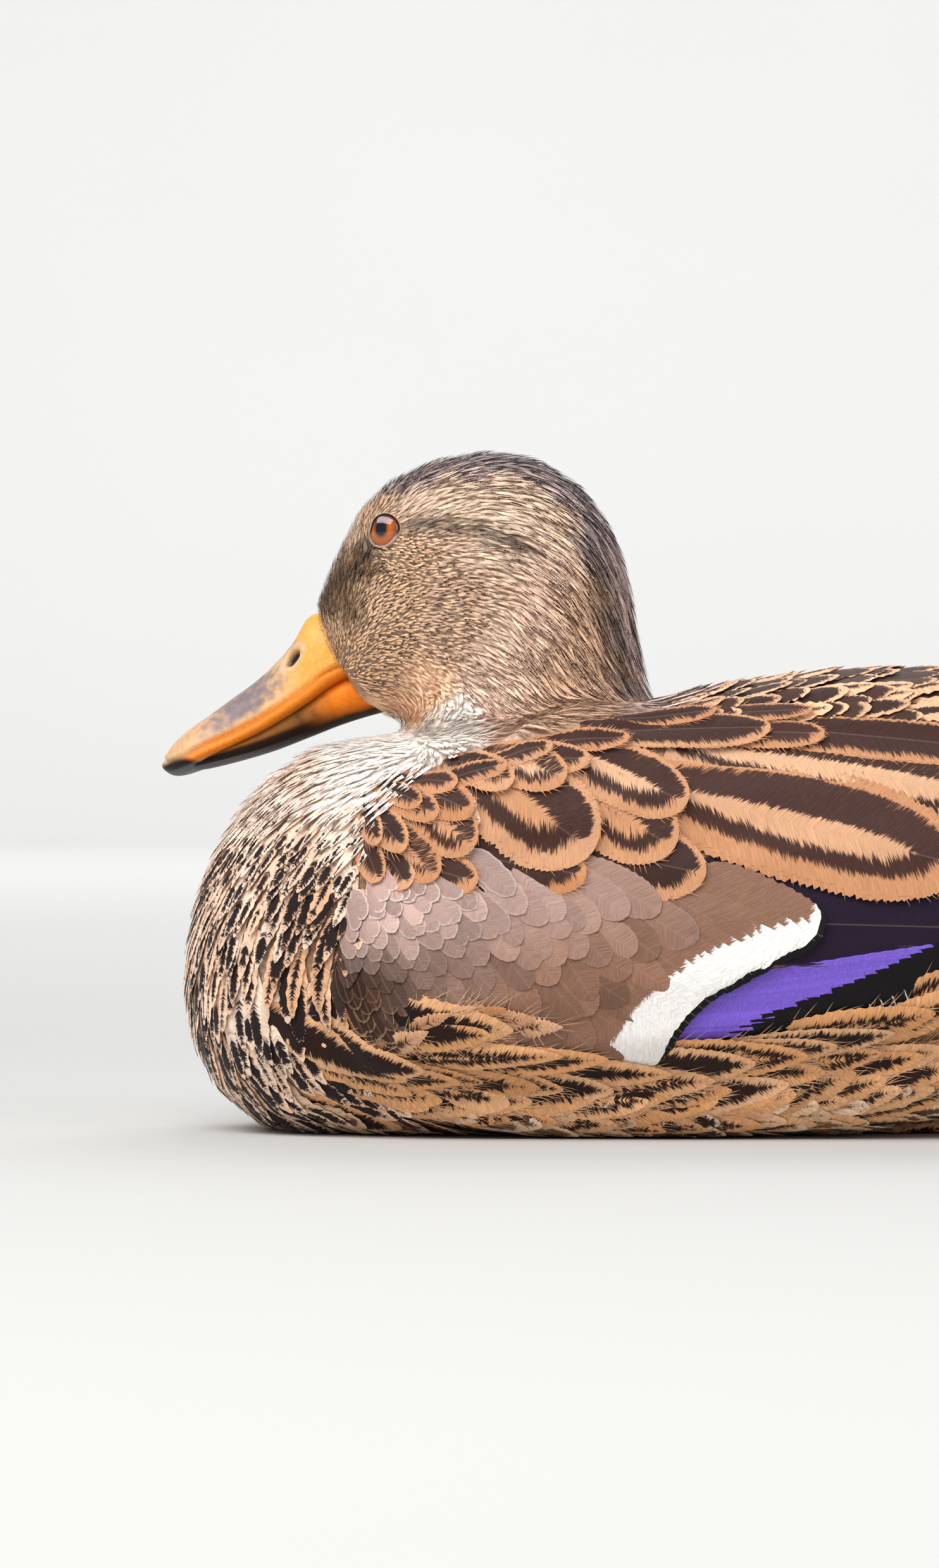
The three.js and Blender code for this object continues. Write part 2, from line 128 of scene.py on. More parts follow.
# ---- The outer surface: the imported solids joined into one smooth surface, out to the feather tips ----
FLESH = ["head", "neck", "trunk", "wing_left", "wing_right", "scapulars_left", "scapulars_right"]
FLESH += ["flank_left", "flank_right"]
FACE_PARTS = ["upper_bill", "lower_bill", "eye_left", "eye_right"]
VOXEL = 1.6
INFLATE = 0.35  # closes the gaps between the solids
BILL_INFLATE = -1.1  # keeps the bill's skin clear of the chest


def joined(names, inflate):
    """The named solids in one mesh, each grown a little and the bill shrunk, in millimetres."""
    whole = bmesh.new()
    for name in names:
        part = bmesh.new()
        part.from_mesh(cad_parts[name].data)
        bmesh.ops.remove_doubles(part, verts=part.verts, dist=1e-6)
        bmesh.ops.scale(part, vec=Vector((1000, 1000, 1000)), verts=part.verts)
        part.normal_update()
        for v in part.verts:
            v.co += v.normal * (BILL_INFLATE if name.endswith("bill") else inflate)
        mesh = bpy.data.meshes.new("part")
        part.to_mesh(mesh)
        part.free()
        whole.from_mesh(mesh)
        bpy.data.meshes.remove(mesh)
    mesh = bpy.data.meshes.new("joined")
    whole.to_mesh(mesh)
    whole.free()
    return mesh


def remeshed(mesh, voxel):
    """The mesh as one even surface: its points and its four-sided faces."""
    obj = bpy.data.objects.new("remesh", mesh)
    bpy.context.collection.objects.link(obj)
    modifier = obj.modifiers.new("remesh", "REMESH")
    modifier.mode = "VOXEL"
    modifier.voxel_size = voxel
    result = bpy.data.meshes.new_from_object(obj.evaluated_get(bpy.context.evaluated_depsgraph_get()))
    points = np.empty(len(result.vertices) * 3)
    result.vertices.foreach_get("co", points)
    faces = np.array([f.vertices[:] for f in result.polygons if len(f.vertices) == 4])
    bpy.data.objects.remove(obj)
    for made in (mesh, result):
        bpy.data.meshes.remove(made)
    return points.reshape(-1, 3), faces


def gathered(at, values, count):
    """The sums of the rows of values that belong to each of some points."""
    return np.stack([np.bincount(at, values[:, k], count) for k in range(3)], -1)


def smoothed(points, faces, rounds):
    """Evens the points out without shrinking the whole."""
    ends = np.concatenate([faces[:, [i, (i + 1) % 4]] for i in range(4)])
    a, b = ends[:, 0], ends[:, 1]
    size = len(points)
    count = np.bincount(a, minlength=size) + np.bincount(b, minlength=size)
    for factor in (0.5, -0.52) * rounds:
        total = gathered(a, points[b], size) + gathered(b, points[a], size)
        points = points + factor * (total / count[:, None] - points)
    return points


def across_faces(corners):
    """Normals of four-sided faces, twice as long as the faces' areas."""
    return np.cross(corners[:, 2] - corners[:, 0], corners[:, 3] - corners[:, 1])


def normals_of(points, faces):
    across = across_faces(points[faces])
    return unit(sum(gathered(faces[:, i], across, len(points)) for i in range(4)))


class Surface:
    """Height above a surface, on a grid, for many points at once."""

    CELL = 2.0
    REACH = 5  # cells either side of the surface

    def __init__(self, points, faces):
        self.points, self.faces = points, faces
        self.normals = normals_of(points, faces)
        self.tree = BVHTree.FromPolygons(points.tolist(), faces.tolist())
        margin = self.CELL * (self.REACH + 2)
        self.low = points.min(0) - margin
        size = np.ceil((points.max(0) + margin - self.low) / self.CELL).astype(int) + 1
        near = np.zeros(size, bool)
        near[tuple(np.round((points - self.low) / self.CELL).astype(int).T)] = True
        for axis in range(3):
            spread = near.copy()
            for shift in range(-self.REACH, self.REACH + 1):
                spread |= np.roll(near, shift, axis)
            near = spread
        self.grid = np.full(size, self.CELL * self.REACH)
        cells = np.argwhere(near)
        places = cells * self.CELL + self.low
        heights = np.empty(len(cells))
        find = self.tree.find_nearest
        for i, p in enumerate(places.tolist()):
            at, normal, _, distance = find(p)
            out = sum((p[k] - at[k]) * normal[k] for k in range(3))
            heights[i] = distance if out > 0 else -distance
        self.grid[tuple(cells.T)] = heights

    def at(self, p):
        """Height and outward normal at points."""
        g = (p - self.low) / self.CELL
        i = np.clip(np.floor(g).astype(int), 0, np.array(self.grid.shape) - 2)
        f = np.clip(g - i, 0, 1)
        x, y, z = i[..., 0], i[..., 1], i[..., 2]
        c = [self.grid[x + a, y + b, z + k] for a in (0, 1) for b in (0, 1) for k in (0, 1)]
        fx, fy, fz = f[..., 0], f[..., 1], f[..., 2]
        c00, c01, c10, c11 = (mixed(c[k], c[k + 4], fx) for k in range(4))
        c0, c1 = mixed(c00, c10, fy), mixed(c01, c11, fy)
        gx = mixed(mixed(c[4] - c[0], c[6] - c[2], fy), mixed(c[5] - c[1], c[7] - c[3], fy), fz)
        gy = mixed(c10 - c00, c11 - c01, fz)
        return mixed(c0, c1, fz), unit(np.stack([gx, gy, c1 - c0], -1))

    def onto(self, p, height, rounds=2):
        """Points moved along the normal to a height above the surface, with the normal there."""
        for _ in range(rounds):
            now, normal = self.at(p)
            p = p + (height - now)[..., None] * normal
        return p, normal


def outer_surface():
    points, faces = remeshed(joined(FLESH + FACE_PARTS, INFLATE), VOXEL)
    return Surface(smoothed(points, faces, 5), faces)


OUTER = outer_surface()


def from_frame(px, py):
    """The points of the outer surface that the camera sees at pixels of its frame, on the bird's left."""
    found = []
    away = -CAMERA[1]
    for x, y in zip(px - FRAME_SIZE[0] / 2, py - FRAME_SIZE[1] / 2):
        way = LOOK * FOCAL + RIGHT * x - UP * y
        hit = OUTER.tree.ray_cast(Vector(CAMERA), Vector(way).normalized())[0]
        if hit is None:
            hit = OUTER.tree.find_nearest(Vector(CAMERA + way * (away / FOCAL)))[0]
        found.append(hit[:])
    return np.array(found)


# ---- The lie of the coat, its size and its colours, from places on the bird in the camera's frame ----
# frame x, frame y, direction in the side view (0 tailwards, 90 up), spacing in mm, kind of feather
LIE = [
    (500, 965, 64, 0.9, "lores"), (522, 905, 62, 1.0, "lores"), (553, 840, 56, 1.1, "brow"),
    (600, 762, 44, 1.4, "crown"), (650, 738, 24, 1.6, "crown"), (720, 717, 6, 1.8, "crown"),
    (800, 714, -8, 1.9, "crown"), (880, 742, -32, 2.0, "crown"), (945, 805, -52, 2.1, "crown"),
    (985, 885, -68, 2.2, "nape"), (1008, 985, -80, 2.3, "nape"), (1028, 1085, -72, 2.5, "nape"),
    (518, 1000, 62, 0.9, "face"), (540, 955, 58, 1.0, "lores"), (570, 890, 60, 1.0, "lores"),
    (560, 1040, 30, 1.0, "face"), (590, 1085, 8, 1.1, "face"), (580, 950, 42, 1.0, "face"),
    (600, 796, 38, 1.1, "face"), (572, 832, 60, 1.0, "face"), (650, 805, 14, 1.2, "brow"),
    (700, 780, 4, 1.5, "brow"), (790, 775, -10, 1.7, "brow"), (860, 810, -30, 1.9, "brow"),
    (645, 870, -8, 1.0, "face"), (612, 885, -20, 0.9, "face"), (700, 862, -4, 1.2, "cheek"),
    (780, 860, -14, 1.5, "brow"), (850, 890, -36, 1.7, "neck"), (920, 930, -54, 1.8, "side"),
    (950, 1020, -64, 1.9, "side"), (620, 940, 14, 1.1, "face"), (700, 930, 0, 1.2, "cheek"),
    (765, 940, -14, 1.3, "cheek"), (830, 985, -46, 1.6, "neck"), (890, 1050, -60, 1.8, "side"),
    (620, 1020, 8, 1.1, "face"), (700, 1020, -6, 1.2, "cheek"), (760, 1050, -30, 1.4, "neck"),
    (600, 1118, 2, 1.2, "chin"), (645, 1120, -14, 1.3, "chin"), (670, 1080, -16, 1.4, "chin"),
    (668, 1150, -70, 1.6, "throat"), (715, 1130, -58, 1.5, "throat"), (790, 1120, -56, 1.7, "neck"),
    (860, 1130, -62, 1.8, "side"), (950, 1120, -60, 1.9, "side"), (740, 1190, -68, 1.8, "throat"),
    (630, 1170, 196, 1.6, "throat"), (560, 1172, 192, 1.8, "throat"), (490, 1186, 200, 2.0, "chest"),
    (640, 1230, -112, 1.8, "throat"), (560, 1230, 222, 1.9, "throat"), (470, 1250, 226, 2.2, "chest"),
    (405, 1250, 232, 2.5, "chest"), (350, 1325, 242, 3.3, "breast"), (310, 1420, 256, 3.9, "breast"),
    (294, 1540, 268, 4.2, "breast"), (304, 1650, 284, 4.4, "breast"), (340, 1725, 305, 4.5, "breast"),
    (560, 1300, 236, 2.3, "chest"), (480, 1330, 238, 3.0, "breast"), (420, 1400, 246, 3.8, "breast"),
    (520, 1400, 244, 3.6, "breast_side"), (480, 1500, 256, 4.6, "breast_side"),
    (400, 1560, 264, 4.6, "breast"),
    (500, 1610, 284, 4.8, "breast_side"), (420, 1680, 296, 4.8, "breast"), (520, 1720, 325, 5.0, "breast"),
    (640, 1720, 350, 5.4, "flank"), (800, 1690, 356, 5.6, "flank"), (1000, 1690, 2, 5.8, "flank"),
    (1200, 1650, 14, 6.0, "flank"), (1400, 1600, 20, 6.2, "flank"), (1640, 1540, 24, 6.4, "flank"),
    (500, 1784, 356, 5.4, "belly"), (800, 1790, 0, 5.6, "belly"), (1200, 1786, 4, 5.8, "belly"),
    (1500, 1750, 16, 6.0, "belly"), (1720, 1660, 30, 6.4, "vent"), (1900, 1500, 40, 6.6, "vent"),
    (2080, 1360, 36, 6.6, "vent"), (1060, 1112, 16, 4.2, "back"), (1150, 1084, 12, 4.8, "back"),
    (1300, 1066, 4, 5.2, "back"), (1500, 1064, -4, 5.6, "back"), (1700, 1090, -10, 5.8, "back"),
    (1900, 1140, -14, 5.8, "rump"), (2060, 1190, -12, 5.8, "rump"), (2180, 1230, -8, 5.6, "rump"),
    (700, 1260, -40, 4.4, "back"), (900, 1250, -30, 5.0, "back"), (1100, 1250, -22, 5.6, "back"),
    (1300, 1300, -20, 6.0, "back"), (800, 1500, -34, 5.0, "covert"), (1000, 1500, -30, 5.6, "covert"),
    (620, 1500, -42, 4.2, "covert"), (1300, 1500, -6, 6.0, "covert"), (1600, 1400, -6, 6.0, "back"),
]
# kind: dark and pale colours; the dark mark's width, start and end as shares of the vane; how ragged
# its edge is in mm; the vane's length and width over the spacing
KINDS = {
    "lores": ((0.15, 0.08, 0.05), (0.86, 0.68, 0.52), 0.72, -0.6, 1.30, 0.10, 3.6, 0.52),
    "crown": ((0.20, 0.16, 0.20), (0.90, 0.80, 0.77), 0.70, -0.3, 1.0, 0.15, 4.2, 0.62),
    "nape": ((0.26, 0.19, 0.20), (0.94, 0.83, 0.79), 0.54, -0.3, 1.0, 0.15, 4.6, 0.58),
    "brow": ((0.24, 0.13, 0.07), (0.97, 0.85, 0.74), 0.46, 0.25, 1.15, 0.12, 4.2, 0.58),
    "face": ((0.07, 0.02, 0.01), (0.98, 0.82, 0.67), 0.80, 0.60, 1.25, 0.06, 3.6, 0.56),
    "cheek": ((0.13, 0.05, 0.02), (0.97, 0.82, 0.70), 0.62, 0.46, 1.25, 0.10, 4.2, 0.52),
    "neck": ((0.28, 0.15, 0.09), (0.98, 0.84, 0.74), 0.46, 0.10, 1.10, 0.15, 5.0, 0.54),
    "side": ((0.20, 0.10, 0.05), (0.94, 0.77, 0.64), 0.52, -0.2, 1.05, 0.15, 5.0, 0.54),
    "chin": ((0.72, 0.50, 0.36), (1.00, 0.86, 0.72), 0.34, 0.50, 1.10, 0.10, 3.9, 0.62),
    "throat": ((0.58, 0.43, 0.36), (1.00, 0.98, 0.95), 0.30, 0.50, 0.95, 0.12, 4.2, 0.80),
    "chest": ((0.14, 0.08, 0.07), (0.98, 0.88, 0.80), 0.36, 0.50, 0.92, 0.3, 3.6, 1.0),
    "breast": ((0.13, 0.07, 0.075), (0.98, 0.82, 0.70), 0.54, 0.36, 0.92, 0.75, 4.0, 1.12),
    "breast_side": ((0.12, 0.06, 0.055), (0.94, 0.73, 0.57), 0.74, 0.16, 0.93, 0.75, 4.0, 1.2),
    "flank": ((0.15, 0.06, 0.03), (0.86, 0.61, 0.39), 0.55, 0.1, 0.95, 0.8, 3.6, 1.5),
    "belly": ((0.42, 0.28, 0.19), (0.90, 0.75, 0.60), 0.35, 0.3, 0.9, 0.7, 3.4, 1.5),
    "vent": ((0.22, 0.13, 0.08), (0.88, 0.70, 0.53), 0.5, 0.2, 0.9, 0.7, 3.4, 1.5),
    "back": ((0.26, 0.17, 0.14), (0.91, 0.72, 0.57), 0.72, -0.2, 0.92, 0.6, 3.2, 1.6),
    "rump": ((0.20, 0.12, 0.10), (0.82, 0.61, 0.44), 0.76, -0.2, 0.92, 0.5, 3.2, 1.6),
    "covert": ((0.58, 0.44, 0.37), (0.66, 0.53, 0.46), 0.9, -0.2, 0.97, 0.5, 3.0, 1.7),
}
LIE_BLUR = 14.0  # frame pixels over which neighbouring rows of the table blend
CLOSER = 0.78  # feathers with a spacing under 2 stand this much closer
LIE_PLACES = np.array([row[:2] for row in LIE], float)
LIE_ANGLES = np.radians([row[2] for row in LIE])
LIE_SPACING = np.array([row[3] * (CLOSER if row[3] < 2 else 1) for row in LIE])
KIND_ROWS = {
    kind: np.concatenate([linear(dark), linear(pale), shape]) for kind, (dark, pale, *shape) in KINDS.items()
}
LIE_KINDS = np.array([KIND_ROWS[row[4]] for row in LIE])


def coat_at(p, noise=0.0):
    """The coat at surface points: lie direction, spacing, the numbers of its kind, and the frame place."""
    q = frame_place(p)
    if noise:
        q = q + rng.normal(0, noise, q.shape)
    far = np.sum((q[:, None] - LIE_PLACES[None]) ** 2, -1)
    weight = 1 / (far + LIE_BLUR**2) ** 2
    weight /= weight.sum(1, keepdims=True)
    angle = np.arctan2(weight @ np.sin(LIE_ANGLES), weight @ np.cos(LIE_ANGLES))
    sharp = weight**1.5
    sharp /= sharp.sum(1, keepdims=True)
    yaw = YAW * head_share(p)
    way = np.stack([np.cos(angle) * np.cos(yaw), -np.cos(angle) * np.sin(yaw), np.sin(angle)], -1)
    return way, weight @ LIE_SPACING, sharp @ LIE_KINDS, q


def depth_at(p):
    """How deep the skin lies under the feather tips."""
    q = frame_place(p)
    head = step(1200, 1080, q[:, 1]) * step(1060, 1000, q[:, 0])
    face = step(160, 40, np.hypot(q[:, 0] - 540, q[:, 1] - 1000) * 0.6)
    return mixed(mixed(2.4, 1.5, head), 1.0, face)


# ---- Feather vanes ----
def each(value, count):
    """One value for all of some vanes, or one for each, as one for each."""
    return np.broadcast_to(np.asarray(value, float), (count,))


def laid(way, normal):
    """Directions laid flat on a surface."""
    return unit(way - dots(way, normal) * normal)


def walk(p, way, length, steps=6):
    """Goes straight over the surface for a length: the end points and the directions there."""
    length, height = each(length, len(p))[:, None], each(0.0, len(p))
    for _ in range(steps):
        p, normal = OUTER.onto(p, height)
        way = laid(way, normal)
        p = p + way * (length / steps)
    return OUTER.onto(p, height)[0], way


def vane_shape(length, width, look, rows=4, cols=2, widest=0.55, blunt=2.0, base=0.3, teeth=0.0,
               tip_bands=False, lower_loop=False, streak=False, mark=None):
    """The outline of vanes and where their bands run, before they are laid anywhere.

    look holds, for each vane, dark, pale and loop colours, the three band distances and the raggedness.
    teeth cuts the edge into barb tips. The bands follow the outline, or the tip alone, or the sides alone
    (streak), or a mark given by its width, start and end as shares. lower_loop keeps the loop to the lower
    half of the vane.
    """
    count = len(length)
    along = 1 - (1 - np.linspace(0, 1, rows + 1)) ** 1.35
    across = np.linspace(-1, 1, cols + 1)
    rise, fall = np.clip(along / widest, 0, 1), np.clip((along - widest) / (1 - widest), 0, 1)
    profile = (base + (1 - base) * np.sqrt(1 - (1 - rise) ** 2)) * (1 - fall**blunt) ** (1 / blunt)
    profile = np.maximum(profile, 0.05)
    cut = teeth * (np.arange(rows + 1) % 2)[None, :, None] * (np.abs(across) > 0.99)
    half = 0.5 * width[:, None] * profile[None, :]
    reach = half[:, :, None] * across * (1 - cut * rng.uniform(0.3, 1.0, (count, rows + 1, cols + 1)))
    ahead = length[:, None] * (1 - along)[None]
    if mark is not None:
        wide, start, end = (m[:, None, None] for m in mark)
        wide = wide * width[:, None, None] / 2
        u = (along[None, :, None] - (start + end) / 2) / ((end - start) / 2)
        edge = wide * (1 - np.sqrt(u**2 + (reach / wide) ** 2))
    elif tip_bands:
        edge = np.broadcast_to(ahead[..., None], reach.shape)
    else:
        side = half[:, :, None] * np.minimum(1 + across, 1 - across)[None, None]
        side, tip = np.maximum(side, 1e-3), np.maximum(ahead[..., None], 1e-3)
        edge = side + 0 * tip if streak else (side**-3.0 + tip**-3.0) ** (-1 / 3)
        if lower_loop:
            plain = (look[:, 9] + np.minimum(look[:, 10], 20)) / 2
            edge = np.where(across > 0.1, np.minimum(edge * 1.8, plain[:, None, None]), edge * 0.92)
    seed = np.broadcast_to(rng.uniform(0, 60, count)[:, None, None], reach.shape)
    run = np.broadcast_to((length[:, None] * along)[..., None], reach.shape)
    vane = np.stack([run, reach, seed], -1)
    return dict(edge=edge, vane=vane, look=look, across=across, along=along, profile=profile, reach=reach)


def vanes(root, way, length, width, look, low, high, cup=0.0, follow=0.0, sweep=0.25, arch=0.0, **shape):
    """Vanes over the outer surface, from their roots at one height to their tips at another.

    cup lowers the sides and arch lifts the middle of the length.
    """
    length, width, low, high = (each(value, len(root)) for value in (length, width, low, high))
    made = vane_shape(length, width, look, **shape)
    along, across, reach, profile = (made[key] for key in ("along", "across", "reach", "profile"))
    place, side_way = root.copy(), way.copy()
    points = np.empty((*reach.shape, 3))
    for k, share in enumerate(along):
        height = mixed(low, high, share) + arch * math.sin(math.pi * share)
        place, normal = OUTER.onto(place, height, 1 if k else 3)
        side_way = laid(side_way, normal)
        if follow and k:
            side_way = unit(mixed(side_way, laid(coat_at(place)[0], normal), follow))
        cross = np.cross(normal, side_way)
        back = sweep * np.abs(reach[:, k]) ** 1.5 / np.sqrt(width[:, None])
        spot = place[:, None] + cross[:, None] * reach[:, k, :, None] - side_way[:, None] * back[..., None]
        if len(across) > 3 or cup:
            level = height[:, None] - cup * np.abs(across)[None] ** 2 * profile[k] + np.zeros_like(back)
            spot = OUTER.onto(spot.reshape(-1, 3), level.ravel(), 1)[0].reshape(spot.shape)
        points[:, k] = spot
        if k + 1 < len(along):
            place = place + side_way * (length * (along[k + 1] - share))[:, None]
    made.update(points=points, root=root)
    return made


def quills(root, tip, across_root, across_tip, width, look, cup=0.1, arch=0.0, sweep=0.25, **shape):
    """Straight vanes in the air, each between two places, turning between two sideways directions."""
    length = np.linalg.norm(tip - root, axis=1)
    width = each(width, len(root))
    made = vane_shape(length, width, look, **shape)
    u = made["along"][None, :, None]
    way = unit(tip - root)[:, None]
    over = unit(mixed(across_root[:, None], across_tip[:, None], u))
    up = unit(np.cross(way, over))
    up = up * np.where(up[..., 2:] < 0, -1, 1)
    middle = mixed(root[:, None], tip[:, None], u) + up * arch * np.sin(np.pi * u)
    reach = made["reach"][..., None]
    fall = cup * reach**2 / width[:, None, None, None]
    back = sweep * np.abs(reach) ** 1.5 / np.sqrt(width)[:, None, None, None]
    points = middle[:, :, None] + over[:, :, None] * reach - up[:, :, None] * fall - way[:, :, None] * back
    made.update(points=points, root=root)
    return made


def look_of(count, dark, pale, loop, bands, ragged):
    """The colours and bands of some vanes: each value is one for all of them, or one for each.

    loop None gives the loop the dark colour. Bands at 99 and 199 lie past any vane, so no loop shows.
    """
    loop = dark if loop is None else loop
    columns = [np.broadcast_to(np.asarray(v, float), (count, 3)) for v in (dark, pale, loop, bands)]
    return np.concatenate(columns + [each(ragged, count)[:, None]], 1)


def tinted(colours, amount):
    """Each colour a little lighter or darker than given."""
    return colours * np.exp(rng.normal(0, amount, (len(colours), 1)))


def shades(rgb, count, amount):
    """One colour for each of some vanes, each a little lighter or darker."""
    return tinted(np.broadcast_to(linear(rgb), (count, 3)), amount)


def between(rgb, other, low, high, count):
    """Blends of two colours, one for each of some vanes."""
    return mixed(linear(rgb), linear(other), rng.uniform(low, high, (count, 1)))


def mirrored(made):
    """The same vanes on the bird's other side."""
    other = dict(made)
    other["points"] = made["points"][:, :, ::-1] * np.array([1, -1, 1])
    other["edge"] = made["edge"][:, :, ::-1]
    other["vane"] = made["vane"][:, :, ::-1] + np.array([0, 0, 7.3])  # another seed
    other["root"] = made["root"] * np.array([1, -1, 1])
    return other


FLOOR = 0.3  # the lowest that a feather reaches


def quads_of(grid):
    """The four corners of each cell of a grid of numbers or places."""
    corners = np.stack([grid[:-1, :-1], grid[:-1, 1:], grid[1:, 1:], grid[1:, :-1]], 2)
    return corners.reshape(-1, *corners.shape[2:])


def store(mesh, label, values):
    """Keeps one number or three for each point of a mesh, for its material."""
    kind, key = ("FLOAT", "value") if values.ndim == 1 else ("FLOAT_VECTOR", "vector")
    mesh.attributes.new(label, kind, "POINT").data.foreach_set(key, values.ravel().astype(np.float32))


def piece_from(name, groups, material, sheets=False):
    """One joined mesh from groups of vanes, with its colours, bands and bake map.

    On the map each vane has a small patch, at its place on the skin's own map or in rows (sheets).
    """
    points = np.concatenate([g["points"].reshape(-1, 3) for g in groups])
    points[:, 2] = np.maximum(points[:, 2], FLOOR + rng.uniform(0, 0.3, len(points)))
    side = math.ceil(math.sqrt(sum(len(g["points"]) for g in groups)))
    quads, maps, start, number = [], [], 0, 0
    for g in groups:
        count, rows, cols, _ = g["points"].shape
        first = start + np.arange(count) * rows * cols
        vane = quads_of(np.arange(rows * cols).reshape(rows, cols))
        quads.append((vane + first[:, None, None]).reshape(-1, 4))
        if sheets:
            place = np.arange(number, number + count)
            middle = np.stack([place % side + 0.5, place // side + 0.5], -1) / side
            size = 0.9 / side
        else:
            middle, size = skin_place(g["root"]), 0.003
        spots = np.stack(np.meshgrid(g["across"] * 0.5, g["along"] - 0.5), -1)
        maps.append((middle[:, None, None] + size * spots).reshape(-1, 2))
        start += count * rows * cols
        number += count
    quads, maps = np.concatenate(quads), np.concatenate(maps)
    mesh = bpy.data.meshes.new(name)
    mesh.vertices.add(len(points))
    mesh.vertices.foreach_set("co", (points * MM).ravel())
    mesh.loops.add(quads.size)
    mesh.loops.foreach_set("vertex_index", quads.ravel().astype(np.int32))
    mesh.polygons.add(len(quads))
    mesh.polygons.foreach_set("loop_start", np.arange(0, quads.size, 4, dtype=np.int32))
    mesh.update(calc_edges=True)
    mesh.shade_smooth()
    mesh.uv_layers.new(name="OFBake").uv.foreach_set("vector", maps[quads.ravel()].ravel())
    looks = np.concatenate([np.repeat(g["look"], g["edge"][0].size, 0) for g in groups])
    for k, label in enumerate(("dark", "pale", "loop", "bands")):
        store(mesh, label, looks[:, 3 * k : 3 * k + 3])
    store(mesh, "ragged", looks[:, 12])
    store(mesh, "vane", np.concatenate([g["vane"].reshape(-1, 3) for g in groups]))
    store(mesh, "edge", np.concatenate([g["edge"].ravel() for g in groups]))
    obj = bpy.data.objects.new(name, mesh)
    bpy.context.collection.objects.link(obj)
    mesh.materials.append(material)
    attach(obj, "root")
    return obj


# ---- Node materials ----
class Nodes:
    """Short ways to make and join a material's nodes."""

    def __init__(self, name):
        self.material = bpy.data.materials.new(name)
        self.material.use_nodes = True
        self.tree = self.material.node_tree
        self.shader = self.tree.nodes["Principled BSDF"]

    def node(self, kind, inputs=(), **settings):
        made = self.tree.nodes.new(kind)
        for key, value in settings.items():
            setattr(made, key, value)
        for key, value in dict(inputs).items():
            self.put(made.inputs[key], value)
        return made

    def put(self, socket, value):
        if isinstance(value, bpy.types.NodeSocket):
            self.tree.links.new(value, socket)
        else:
            socket.default_value = value

    def maths(self, operation, *values):
        return self.node("ShaderNodeMath", enumerate(values), operation=operation).outputs[0]

    def vector(self, x, y, z):
        return self.node("ShaderNodeCombineXYZ", {0: x, 1: y, 2: z}).outputs[0]

    def parts(self, vector):
        return self.node("ShaderNodeSeparateXYZ", {0: vector}).outputs

    def value(self, name, output):
        return self.node("ShaderNodeAttribute", attribute_name=name).outputs[output]

    def place(self):
        return self.node("ShaderNodeTexCoord").outputs["Object"]

    def ramp(self, x, low, high, a=0.0, b=1.0):
        inputs = {0: x, 1: low, 2: high, 3: a, 4: b}
        return self.node("ShaderNodeMapRange", inputs, interpolation_type="SMOOTHSTEP").outputs[0]

    def noise(self, vector, scale, detail=2.0, rough=0.5):
        inputs = {"Vector": vector, "Scale": scale, "Detail": detail, "Roughness": rough}
        return self.node("ShaderNodeTexNoise", inputs).outputs["Fac"]

    def mix(self, factor, a, b, blend="MIX"):
        inputs = {0: factor, 6: a, 7: b}
        return self.node("ShaderNodeMix", inputs, data_type="RGBA", blend_type=blend).outputs[2]

    def toned(self, base, tone):
        """A colour made darker or lighter by a number."""
        return self.mix(1.0, base, self.vector(tone, tone, tone), "MULTIPLY")

    def bump(self, height, strength, distance):
        inputs = {"Height": height, "Strength": strength, "Distance": distance}
        return self.node("ShaderNodeBump", inputs).outputs["Normal"]

    def set(self, **values):
        for key, value in values.items():
            self.put(self.shader.inputs[key.replace("_", " ")], value)


def colour(rgb):
    return (*linear(rgb), 1.0)


def feather_material(name, roughness, streak, shaft, barb=1.5):
    """Bands that follow a vane's outline, broken up along its barbs, with a pale shaft."""
    n = Nodes(name)
    u, y, seed = n.parts(n.value("vane", "Vector"))
    side = n.maths("ABSOLUTE", y)
    barbs = n.maths("MULTIPLY_ADD", side, -0.8, u)
    lane = n.vector(n.maths("MULTIPLY", barbs, barb), n.maths("MULTIPLY", side, 0.16), seed)
    fine = n.noise(lane, 1.6, 2.0)
    coarse = n.noise(lane, 0.45, 1.0)
    ragged = n.value("ragged", "Fac")
    shift = n.maths("SUBTRACT", n.maths("MULTIPLY_ADD", fine, 2.0, coarse), 1.5)
    edge = n.maths("MULTIPLY_ADD", n.maths("MULTIPLY", shift, ragged), 1.6, n.value("edge", "Fac"))
    soft = n.maths("MULTIPLY_ADD", ragged, 0.3, 0.04)
    past = [
        n.ramp(edge, n.maths("SUBTRACT", limit, soft), n.maths("ADD", limit, soft))
        for limit in n.parts(n.value("bands", "Vector"))
    ]
    looped = n.maths("SUBTRACT", past[1], past[2])
    base = n.mix(looped, n.value("dark", "Color"), n.value("loop", "Color"))
    base = n.mix(past[0], n.value("pale", "Color"), base)
    base = n.toned(base, n.ramp(fine, 0.25, 0.75, 1 - streak, 1 + streak))
    if shaft:
        line = n.maths("MULTIPLY", n.ramp(side, 0.1, 0.28, 1.0, 0.0), shaft)
        base = n.mix(line, base, colour((0.75, 0.68, 0.62)))
    n.set(Base_Color=base, Roughness=roughness, Specular_IOR_Level=0.2, Sheen_Weight=0.04,
          Sheen_Roughness=0.5, Normal=n.bump(fine, 0.5, 0.0004))
    return n.material


FINE = feather_material("fine_plumage", 0.75, 0.28, 0.0)
BODY = feather_material("body_plumage", 0.65, 0.24, 0.0)
QUILL = feather_material("quill_plumage", 0.5, 0.16, 0.10, barb=2.2)

